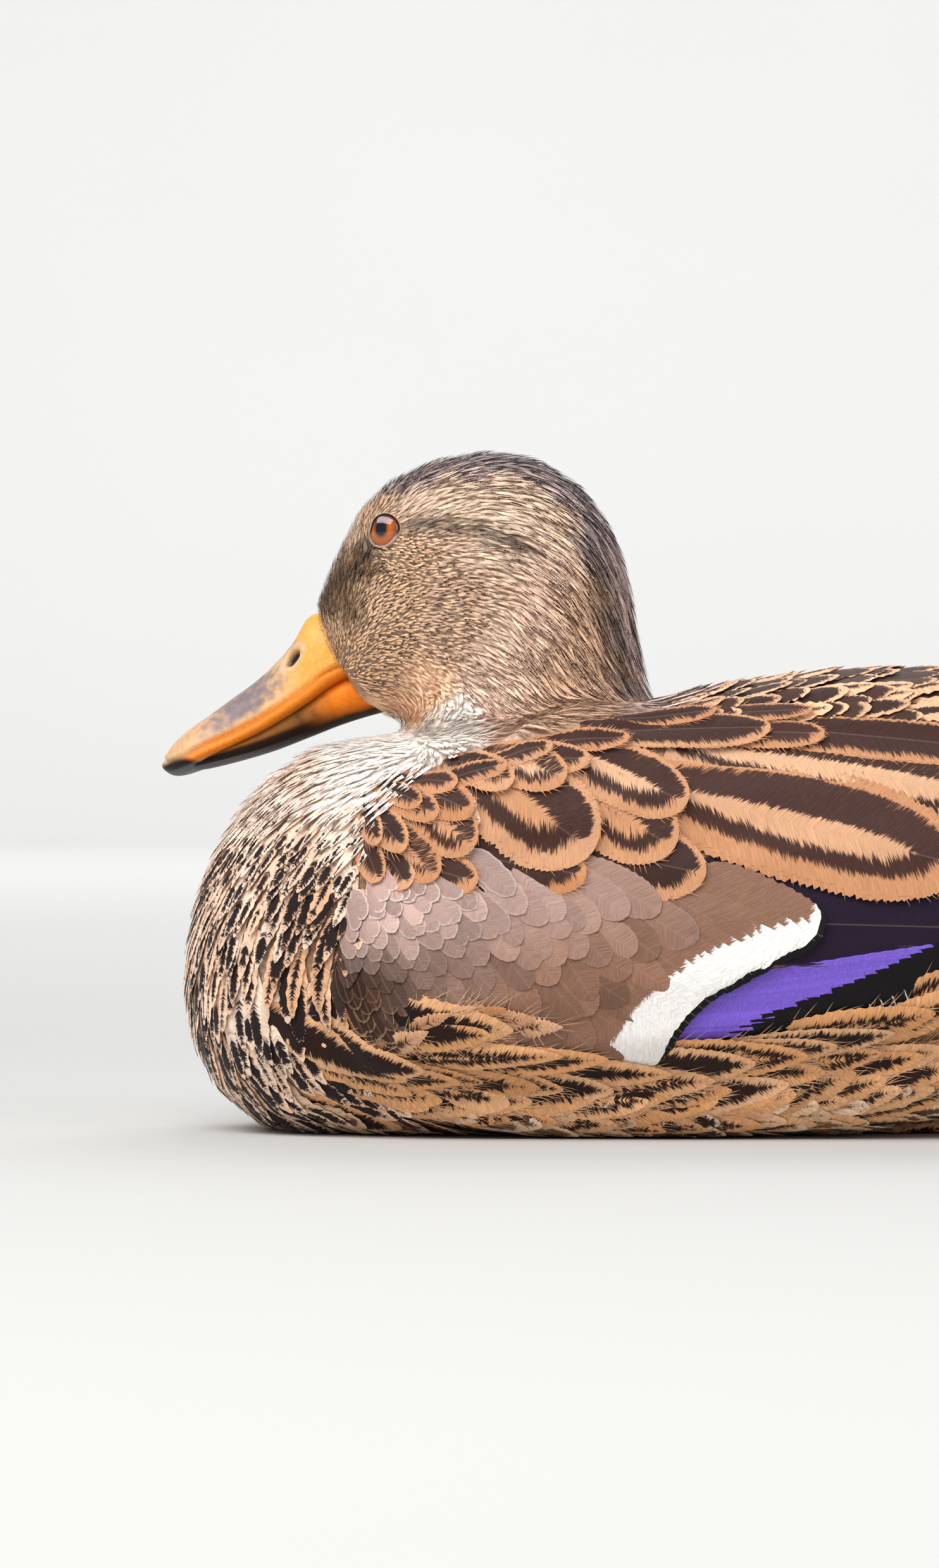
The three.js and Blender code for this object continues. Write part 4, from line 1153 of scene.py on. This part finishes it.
def primary_feathers(side):
    """The folded wing tips, crossed over the rump."""
    count = 6
    k = np.arange(count)[:, None] / (count - 1)
    root = mixed(np.array([60, 47.0, 84.5]), np.array([52, 49.0, 88.5]), k)
    tip = mixed(np.array([144, 6.5, 97.2]), np.array([104, 22.5, 99.8]), k)
    turn = [np.radians(each(a, count)) for a in (-58, -16)]
    across = [np.stack([0 * a, np.cos(a), np.sin(a)], -1) for a in turn]
    dark, pale = shades((0.22, 0.17, 0.15), count, 0.08), linear((0.52, 0.43, 0.36))
    look = look_of(count, dark, pale, None, (0.5, 99, 199), 0.4)
    made = quills(root, tip, *across, 15, look, cup=0.5, arch=1.5, rows=50, cols=8, blunt=1.7, widest=0.5,
                  base=0.6, teeth=0.05)
    return made if side > 0 else mirrored(made)


def both_sides(groups):
    return groups + [mirrored(g) for g in groups]


piece_from("coverts", both_sides(covert_feathers()), QUILL, sheets=True)
piece_from("secondaries", both_sides(secondary_feathers()), QUILL, sheets=True)
piece_from("scapular_feathers", both_sides(scapular_feathers()), QUILL, sheets=True)
piece_from("flank_feathers", both_sides(flank_feathers()), BODY, sheets=True)
tail = piece_from("tail_feathers", tail_feathers(), QUILL, sheets=True)
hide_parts("tail")
for side, name in ((-1, "left"), (1, "right")):
    wing_tip = piece_from(f"primaries_{name}_vanes", [primary_feathers(side)], QUILL, sheets=True)
    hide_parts("primaries_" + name)


# ---- Bill, eyes and feet: grids of points in rows, with their colours painted per point ----
def spline(table, count):
    """A smooth curve through the rows of a table, at an even count of places."""
    table = np.asarray(table, float)
    t = np.linspace(0, len(table) - 1, count)
    i = np.clip(t.astype(int), 0, len(table) - 2)
    f = (t - i)[:, None]
    a, b, c, d = (table[np.clip(i + k, 0, len(table) - 1)] for k in (-1, 0, 1, 2))
    return 0.5 * (2 * b + (c - a) * f + (2 * a - 5 * b + 4 * c - d) * f**2 + (3 * b - a - 3 * c + d) * f**3)


def grid_piece(name, grids, material, node):
    """One mesh from grids of (points, colour, mottle), each row of points a ring, with its bake map."""
    points, paint, mottle, quads, maps, start = [], [], [], [], [], 0
    for k, (spots, tint, speck) in enumerate(grids):
        rows, cols = spots.shape[:2]
        cell = np.arange(rows * cols).reshape(rows, cols)
        quads.append(quads_of(np.concatenate([cell, cell[:, :1]], 1)) + start)
        u, v = np.meshgrid(np.linspace(0, 1, cols + 1), np.linspace(0, 1, rows))
        maps.append(quads_of(np.stack([(k + 0.02 + 0.96 * u) / len(grids), v], -1)))
        start += rows * cols
        points.append(spots.reshape(-1, 3))
        paint.append(np.broadcast_to(tint, spots.shape).reshape(-1, 3))
        mottle.append(np.broadcast_to(speck, spots.shape[:2]).ravel())
    mesh = bpy.data.meshes.new(name)
    mesh.from_pydata((np.concatenate(points) * MM).tolist(), [], np.concatenate(quads).tolist())
    mesh.shade_smooth()
    mesh.uv_layers.new(name="OFBake").uv.foreach_set("vector", np.concatenate(maps).ravel())
    store(mesh, "paint", np.concatenate(paint))
    store(mesh, "mottle", np.concatenate(mottle))
    obj = bpy.data.objects.new(name, mesh)
    bpy.context.collection.objects.link(obj)
    mesh.materials.append(material)
    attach(obj, "root")
    if node:
        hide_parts(node)


def horn_material(name, speck, roughness, coat, scale=700.0, depth=0.0002, gloss=0.4):
    """Painted horn or skin, mottled with a second colour where the mottle share asks for it."""
    n = Nodes(name)
    cloud = n.noise(n.place(), scale * 0.5, 4.0, 0.6)
    share = n.maths("ADD", n.value("mottle", "Fac"), n.ramp(cloud, 0.2, 0.8, -0.34, 0.34))
    base = n.mix(n.ramp(share, 0.1, 1.0), n.value("paint", "Color"), colour(speck))
    base = n.toned(base, n.ramp(n.noise(n.place(), scale, 3.0), 0.3, 0.7, 0.9, 1.08))
    n.set(Base_Color=base, Roughness=roughness, Specular_IOR_Level=gloss, Coat_Weight=coat,
          Coat_Roughness=0.25, Normal=n.bump(n.noise(n.place(), scale * 2, 3.0), 0.5, depth))
    return n.material


def layered(rgb, *layers):
    """A colour with other colours laid over it by their shares, in turn."""
    paint = linear(rgb)
    for over, share in layers:
        paint = mixed(paint, linear(over), share[..., None])
    return paint


def bell(x, centre, width):
    return np.exp(-(((x - centre) / width) ** 2))


# culmen x, z, palate x, z, half-width, the widest place's share of the way down, upper and lower powers
UPPER_BILL = [
    (-128.5, 127.5, -121.2, 111.6, 9.6, 0.75, 2.3, 2.4), (-133.6, 126.9, -126.6, 108.9, 10.4, 0.8, 2.3, 2.4),
    (-137.4, 120.6, -131.9, 104.9, 10.6, 0.82, 2.4, 2.4),
    (-141.9, 115.3, -137.6, 101.2, 10.4, 0.82, 2.4, 2.4),
    (-147.2, 110.5, -143.8, 97.5, 10.2, 0.82, 2.4, 2.4), (-153.0, 106.3, -150.2, 94.2, 10.5, 0.81, 2.4, 2.3),
    (-158.8, 102.0, -156.6, 91.3, 11.2, 0.79, 2.4, 2.3), (-163.8, 98.5, -162.2, 88.4, 11.2, 0.75, 2.3, 2.2),
    (-167.4, 95.2, -166.6, 87.0, 8.8, 0.65, 2.1, 2.1), (-169.3, 92.4, -169.0, 87.6, 5.2, 0.55, 2.0, 2.0),
    (-169.9, 90.6, -169.7, 88.9, 1.2, 0.5, 2.0, 2.0),
]
LOWER_BILL = [
    (-115.5, 114.5, -113.0, 103.6, 8.4, 0.45, 2.3, 2.0), (-121.8, 113.0, -119.6, 101.9, 9.2, 0.5, 2.3, 2.0),
    (-128.4, 109.5, -126.8, 99.6, 9.4, 0.5, 2.3, 2.0), (-136.4, 104.2, -135.0, 96.4, 9.2, 0.5, 2.3, 2.0),
    (-144.4, 99.2, -143.4, 93.2, 9.2, 0.5, 2.3, 2.0), (-152.6, 95.2, -151.8, 90.7, 9.6, 0.45, 2.2, 2.0),
    (-160.0, 92.2, -159.6, 88.8, 8.6, 0.4, 2.1, 2.0), (-163.6, 90.6, -163.4, 88.4, 5.5, 0.4, 2.0, 2.0),
    (-164.4, 89.6, -164.3, 88.7, 1.2, 0.5, 2.0, 2.0),
]
NOSTRIL, NOSTRIL_SIZE, NOSTRIL_TILT = (462, 1040), (18.0, 8.0), math.radians(54)  # in the frame
NAIL, NAIL_SIZE = (292, 1220), (36, 21)  # in the frame


def bill_rings(stations, rows, sides):
    """Rings round the bill before the head's turn, with each point's height above the ring's foot."""
    s = spline(stations, rows)
    angle = 2 * np.pi * np.arange(sides) / sides
    c, a = np.cos(angle)[None], np.sin(angle)[None]
    top, low = s[:, None, 0:2], s[:, None, 2:4]
    up = unit(top - low)
    height = np.linalg.norm(top - low, axis=-1)
    m, power = s[:, 5:6], 2 / np.where(c > 0, s[:, 6:7], s[:, 7:8])
    rise = np.sign(c) * np.abs(c) ** power * np.where(c > 0, m, 1 - m) * height
    side = np.sign(a) * np.abs(a) ** power * s[:, 4:5]
    spot = mixed(top, low, m[..., None]) + up * rise[..., None]
    return np.stack([spot[..., 0], side, spot[..., 1]], -1), rise + (1 - m) * height


def outward(points):
    """Outward normals of a closed ring grid."""
    along = np.gradient(points, axis=0)
    around = np.roll(points, -1, 1) - np.roll(points, 1, 1)
    normal = unit(np.cross(around, along))
    middle = points.mean(1, keepdims=True)
    return normal * np.sign(dots(normal, points - middle).mean())


def upper_bill():
    """The upper half: a ridge along its edge, the nostril with painted shade in its pit, the dark saddle and
    the nail.
    """
    still, above = bill_rings(UPPER_BILL, 130, 112)
    q = seen(still, 1.0)
    along = np.linspace(0, 1, 130)[:, None]
    ridge = 0.55 * bell(above, 1.9, 0.9) + 0.3 * bell(above, 4.6, 0.7) - 0.45 * bell(above, 3.4, 0.6)
    ridge *= step(1.0, 0.9, along) * (np.abs(still[..., 1]) > 3)
    c, s = math.cos(NOSTRIL_TILT), math.sin(NOSTRIL_TILT)
    dx, dy = q[..., 0] - NOSTRIL[0], NOSTRIL[1] - q[..., 1]
    hole = np.hypot((dx * c + dy * s) / NOSTRIL_SIZE[0], (dy * c - dx * s) / NOSTRIL_SIZE[1])
    pit = step(1.05, 0.6, hole)
    rim = bell(hole, 1.35, 0.28)
    shaped = still + outward(still) * (ridge - 1.3 * pit + 0.18 * rim)[..., None]
    rise = above / above.max(1, keepdims=True)
    edge = step(5.2, 3.6, above / mixed(1.0, 0.62, step(0.5, 0.9, along))) * step(0.3, 1.2, above)
    nail = step(1.25, 0.85, np.linalg.norm((q - NAIL) / NAIL_SIZE, axis=-1))
    paint = layered(
        (0.94, 0.74, 0.50),
        ((0.88, 0.70, 0.52), step(0.30, 0.52, along)),
        ((0.93, 0.69, 0.32), step(0.30, 0.14, along)),
        ((0.92, 0.52, 0.10), edge * step(0.95, 0.7, along)),
        ((0.05, 0.015, 0.005), nail),
        ((0.33, 0.22, 0.12), step(0.25, -0.2, above) * step(0.2, 0.3, along)),
        ((0.80, 0.74, 0.72), rim * 0.6),
        # the nostril's pit painted near black: painted shade inside the opening
        ((0.055, 0.012, 0.008), pit),
    )
    saddle = 0.92 * bell(along, 0.43, 0.19) * step(0.15, 0.6, rise)
    base = step(0.13, 0.20, along) * step(0.30, 0.22, along) * step(0.75, 0.95, rise) * 0.5
    mottle = np.maximum(saddle * (1 - rim) * (1 - edge), base) * (1 - pit)
    horn = horn_material("bill_horn", (0.52, 0.465, 0.485), 0.42, 0.08, 1100.0, gloss=0.3)
    grid_piece("upper_bill_horn", [(turned(shaped, 1.0), paint, mottle)], horn, "upper_bill")


def lower_bill():
    """The lower half, orange at its base and dusky ahead, with painted shade darkening its underside and a
    groove along each side.
    """
    still, above = bill_rings(LOWER_BILL, 90, 64)
    along = np.linspace(0, 1, 90)[:, None]
    groove = 0.35 * bell(above, 1.3, 0.5) - 0.5 * bell(above, 2.2, 0.5)
    shaped = still + outward(still) * (groove * (np.abs(still[..., 1]) > 2))[..., None]
    rear = step(0.36, 0.18, along) * step(1.0, 2.4, above)
    # painted shade: the paint grows near black towards the bottom of the lower half, for the shade on its
    # underside
    underside_shade = ((0.10, 0.04, 0.02), step(3.4, 1.8, above))
    paint = layered((0.55, 0.36, 0.15), underside_shade, ((0.93, 0.50, 0.08), rear))
    mottle = np.clip(0.35 + 0.2 * np.sin(9 * along) - 0.5 * rear, 0, 1) + 0 * above
    horn = horn_material("lower_bill_horn", (0.10, 0.05, 0.03), 0.45, 0.0, gloss=0.2)
    grid_piece("lower_bill_horn", [(turned(shaped, 1.0), paint, mottle)], horn, "lower_bill")


PUPIL, IRIS = 13.0, 44.0  # angular radii in degrees


def make_eyes():
    """Eyeballs with an oval iris, and the bare lids that run in under the feathers."""
    n = Nodes("eyeball")
    tone = n.ramp(n.noise(n.place(), 2600.0, 3.0), 0.3, 0.7, 0.85, 1.12)
    n.set(Base_Color=n.toned(n.value("paint", "Color"), tone), Roughness=0.04, IOR=1.75,
          Specular_Tint=(0.80, 0.80, 1.0, 1.0))
    lid = horn_material("eyelid_skin", (0.40, 0.32, 0.28), 0.6, 0.0, gloss=0.2)
    down = linear((0.74, 0.61, 0.51))
    for side, name in ((-1, "left"), (1, "right")):
        centre, axis, back, up = eye_frame(side)
        turn = np.linspace(0, 2 * np.pi, 64, endpoint=False)[None, :, None]
        around = np.cos(turn) * back + np.sin(turn) * up
        a = np.radians(np.linspace(0, 180, 70))[:, None, None]
        gaze = unit(axis - 0.10 * back + 0.04 * up)
        gaze_back = unit(back - dots(back, gaze) * gaze)
        gaze_around = np.cos(turn) * gaze_back + np.sin(turn) * np.cross(gaze_back, gaze)
        way = np.cos(a) * gaze + np.sin(a) * gaze_around
        # the ball shrinks where the lids cover it
        ball = centre + (EYE_RADIUS - 1.2 * step(2, 9, past_lids(way, side)))[..., None] * way
        angle = np.degrees(a[..., 0]) / (1 + 0.34 * np.sin(turn[..., 0]) ** 2)
        paint = layered(
            (0.74, 0.39, 0.0),
            ((0.42, 0.18, 0.0), step(IRIS * 0.5, IRIS * 0.95, angle)),
            ((0.20, 0.09, 0.05), 0.9 * step(0.0, 0.55, way @ (up - 0.5 * back))),  # shade under the brow
            ((0.50, 0.24, 0.02), step(PUPIL * 1.6, PUPIL, angle)),
            ((0.015, 0.012, 0.02), step(PUPIL * 1.12, PUPIL * 0.92, angle)),
            ((0.05, 0.03, 0.03), step(IRIS, IRIS * 1.08, angle)),
        )
        grid_piece("eyeball_" + name, [(ball, paint, 0.0)], n.material, "eye_" + name)
        turn, around = turn[0, :, 0], around[0]
        half = lid_half(turn)
        rim = layered((0.09, 0.06, 0.05), ((0.74, 0.66, 0.64), step(0.1, 0.7, -np.sin(turn))))
        upper = step(-0.2, 0.6, np.sin(turn + 0.3))
        rows, tints = [], []
        # the lid's rings, from inside its edge outwards: degrees past the opening, height, colour
        rings = [(-1.0, -0.2, linear((0.04, 0.03, 0.03))), (0.2, 0.12, rim), (2.0, 0.22, rim)]
        rings += [(3.0, 0.24, down), (6.0, 0.15, down), (11.0, -0.5, down), (24.0, 1.0, down)]
        for grow, lift, tint in rings:
            b = np.radians(half + grow + (upper * 1.6 if 1 < grow < 20 else 0))[:, None]
            rows.append(centre + (EYE_RADIUS + lift) * (np.cos(b) * axis + np.sin(b) * around))
            tints.append(np.broadcast_to(tint, around.shape))
        rows[-1] = OUTER.onto(rows[-1], np.full(len(turn), -1.1))[0]
        grid_piece("eyelid_" + name, [(np.stack(rows), np.stack(tints), 0.0)], lid, None)


def tube(path, radii, sides=14, flat=1.0):
    """Rings of points along a path, closed at both ends; flat squashes them in height."""
    path, radii = spline(path, 5 * len(path)), spline(np.reshape(radii, (-1, 1)), 5 * len(path))[:, 0]
    way = unit(np.gradient(path, axis=0))
    side = unit(np.cross(way, np.array([0, 0, 1.0])))
    up = np.cross(side, way)
    turn = np.linspace(0, 2 * np.pi, sides, endpoint=False)[None, :, None]
    ring = np.cos(turn) * side[:, None] + np.sin(turn) * up[:, None] * flat
    ends = np.ones(len(path))
    ends[[0, -1]] = 0.05
    return path[:, None] + ring * (radii * ends)[:, None, None]


# the right foot's places: its toes, then the bones behind them, each with its radii
TOES = [
    [(-20, 27.5, 4.2), (-34, 36.5, 4.4), (-48, 43.5, 3.4), (-57, 47.5, 2.4)],
    [(-20, 27.5, 4.2), (-37, 27.5, 4.6), (-54, 27.5, 3.6), (-65, 27.5, 2.4)],
    [(-20, 27.5, 4.2), (-35, 18.5, 4.4), (-49, 11.5, 3.4), (-58, 7.5, 2.4)],
]
TOE_RADII = (2.6, 2.1, 1.9, 1.3)
TARSUS = [(16, 25.5, 6.2), (6, 26.8, 4.6), (-8, 27.4, 4.2), (-21, 27.5, 4.2)]
HALLUX = [(-14, 29, 3.6), (-10, 34, 2.6), (-8.5, 37, 2.0), (-8, 39, 1.6)]


def make_feet():
    """Webbed feet that lie flat under the belly."""
    skin = horn_material("foot_skin", (0.62, 0.30, 0.10), 0.5, 0.1, 900.0, 0.0005)
    orange, dusk = linear((0.94, 0.52, 0.17)), linear((0.10, 0.07, 0.06))
    for side, name in ((-1, "left"), (1, "right")):
        place = np.array([1, side, 1.0])
        grids = []
        for toe in TOES:
            grids.append((tube(toe, TOE_RADII) * place, orange, 0.15))
            claw = np.array(toe[-1]) + [(0, 0, 0), (-2.5, 0, 0.2), (-4.6, 0, -0.6), (-6.0, 0, -1.7)]
            grids.append((tube(claw, (1.0, 0.95, 0.6, 0.12)) * place, dusk, 0.0))
        grids.append((tube(TARSUS, (2.8, 2.8, 2.7, 2.9)) * place, orange, 0.2))
        grids.append((tube(HALLUX, (1.4, 1.2, 1.0, 0.6)) * place, orange, 0.2))
        for first, second in zip(TOES, TOES[1:]):
            t = np.linspace(0, 1, 15)
            web = mixed(spline(first, 22)[:, None], spline(second, 22)[:, None], t[:, None])
            # the web's front edge is drawn in between the toes, and the web sags a little
            web[..., 0] += 5.0 * np.sin(np.pi * t) * np.linspace(0, 1, 22)[:, None] ** 2
            web[..., 2] -= 0.9 * np.sin(np.pi * t)
            under = web[:, ::-1] - np.array([0, 0, 0.5])
            grids.append((np.concatenate([web, under], 1) * place, linear((0.90, 0.45, 0.16)), 0.3))
        grid_piece("foot_" + name, grids, skin, "leg_" + name)


upper_bill()
lower_bill()
make_eyes()
make_feet()


# ---- Floor and light ----
def make_stage():
    """A plain floor that curves up into a plain wall behind, in metres."""
    n = Nodes("floor")
    rgb = np.array((0.80, 0.80, 0.79))
    n.set(Base_Color=n.mix(n.noise(n.place(), 3.0), colour(rgb), colour(rgb * 0.985)), Roughness=0.8)
    mesh = bpy.data.meshes.new("floor")
    wide, deep, high, turn = 6.0, 5.0, 4.0, 0.8
    curve = np.linspace(0.1, math.pi / 2, 10)
    profile = [(-3.0, 0.0), (deep - turn, 0.0)]
    profile += [(deep - turn + turn * math.sin(a), turn - turn * math.cos(a)) for a in curve]
    profile.append((deep, high))
    points = [(x, y, z) for y, z in profile for x in (-wide, wide)]
    faces = [(2 * i, 2 * i + 1, 2 * i + 3, 2 * i + 2) for i in range(len(profile) - 1)]
    mesh.from_pydata(points, [], faces)
    mesh.shade_smooth()
    floor = bpy.data.objects.new("floor", mesh)
    bpy.context.collection.objects.link(floor)
    mesh.materials.append(n.material)


def soft_light(name, place, target, size, power, tint=(1, 1, 1)):
    """A soft rectangle of light at a place, turned to a target, in metres and watts."""
    data = bpy.data.lights.new(name, "AREA")
    data.shape = "RECTANGLE"
    data.size, data.size_y = size
    data.energy = power
    data.color = tint
    light = bpy.data.objects.new(name, data)
    bpy.context.collection.objects.link(light)
    light.location = place
    light.rotation_euler = (Vector(target) - Vector(place)).to_track_quat("-Z", "Y").to_euler()


make_stage()
soft_light("key", (-0.8, -1.1, 1.7), (0, 0, 0.08), (2.6, 1.1), 52, (1.0, 0.98, 0.95))
soft_light("fill", (1.4, -1.4, 0.8), (0, 0, 0.08), (1.2, 1.2), 8)
soft_light("back", (0.3, 1.3, 1.4), (0, 0, 0.1), (1.2, 0.8), 11)
soft_light("backdrop", (0, 2.4, 2.6), (0, 5, 0.7), (4.5, 1.0), 130)
world = bpy.data.worlds.new("studio")
world.use_nodes = True
sky = world.node_tree.nodes["Background"].inputs
sky["Color"].default_value = (0.9, 0.93, 1.0, 1)
sky["Strength"].default_value = 0.42
bpy.context.scene.world = world
bpy.context.scene.view_settings.view_transform = "Standard"
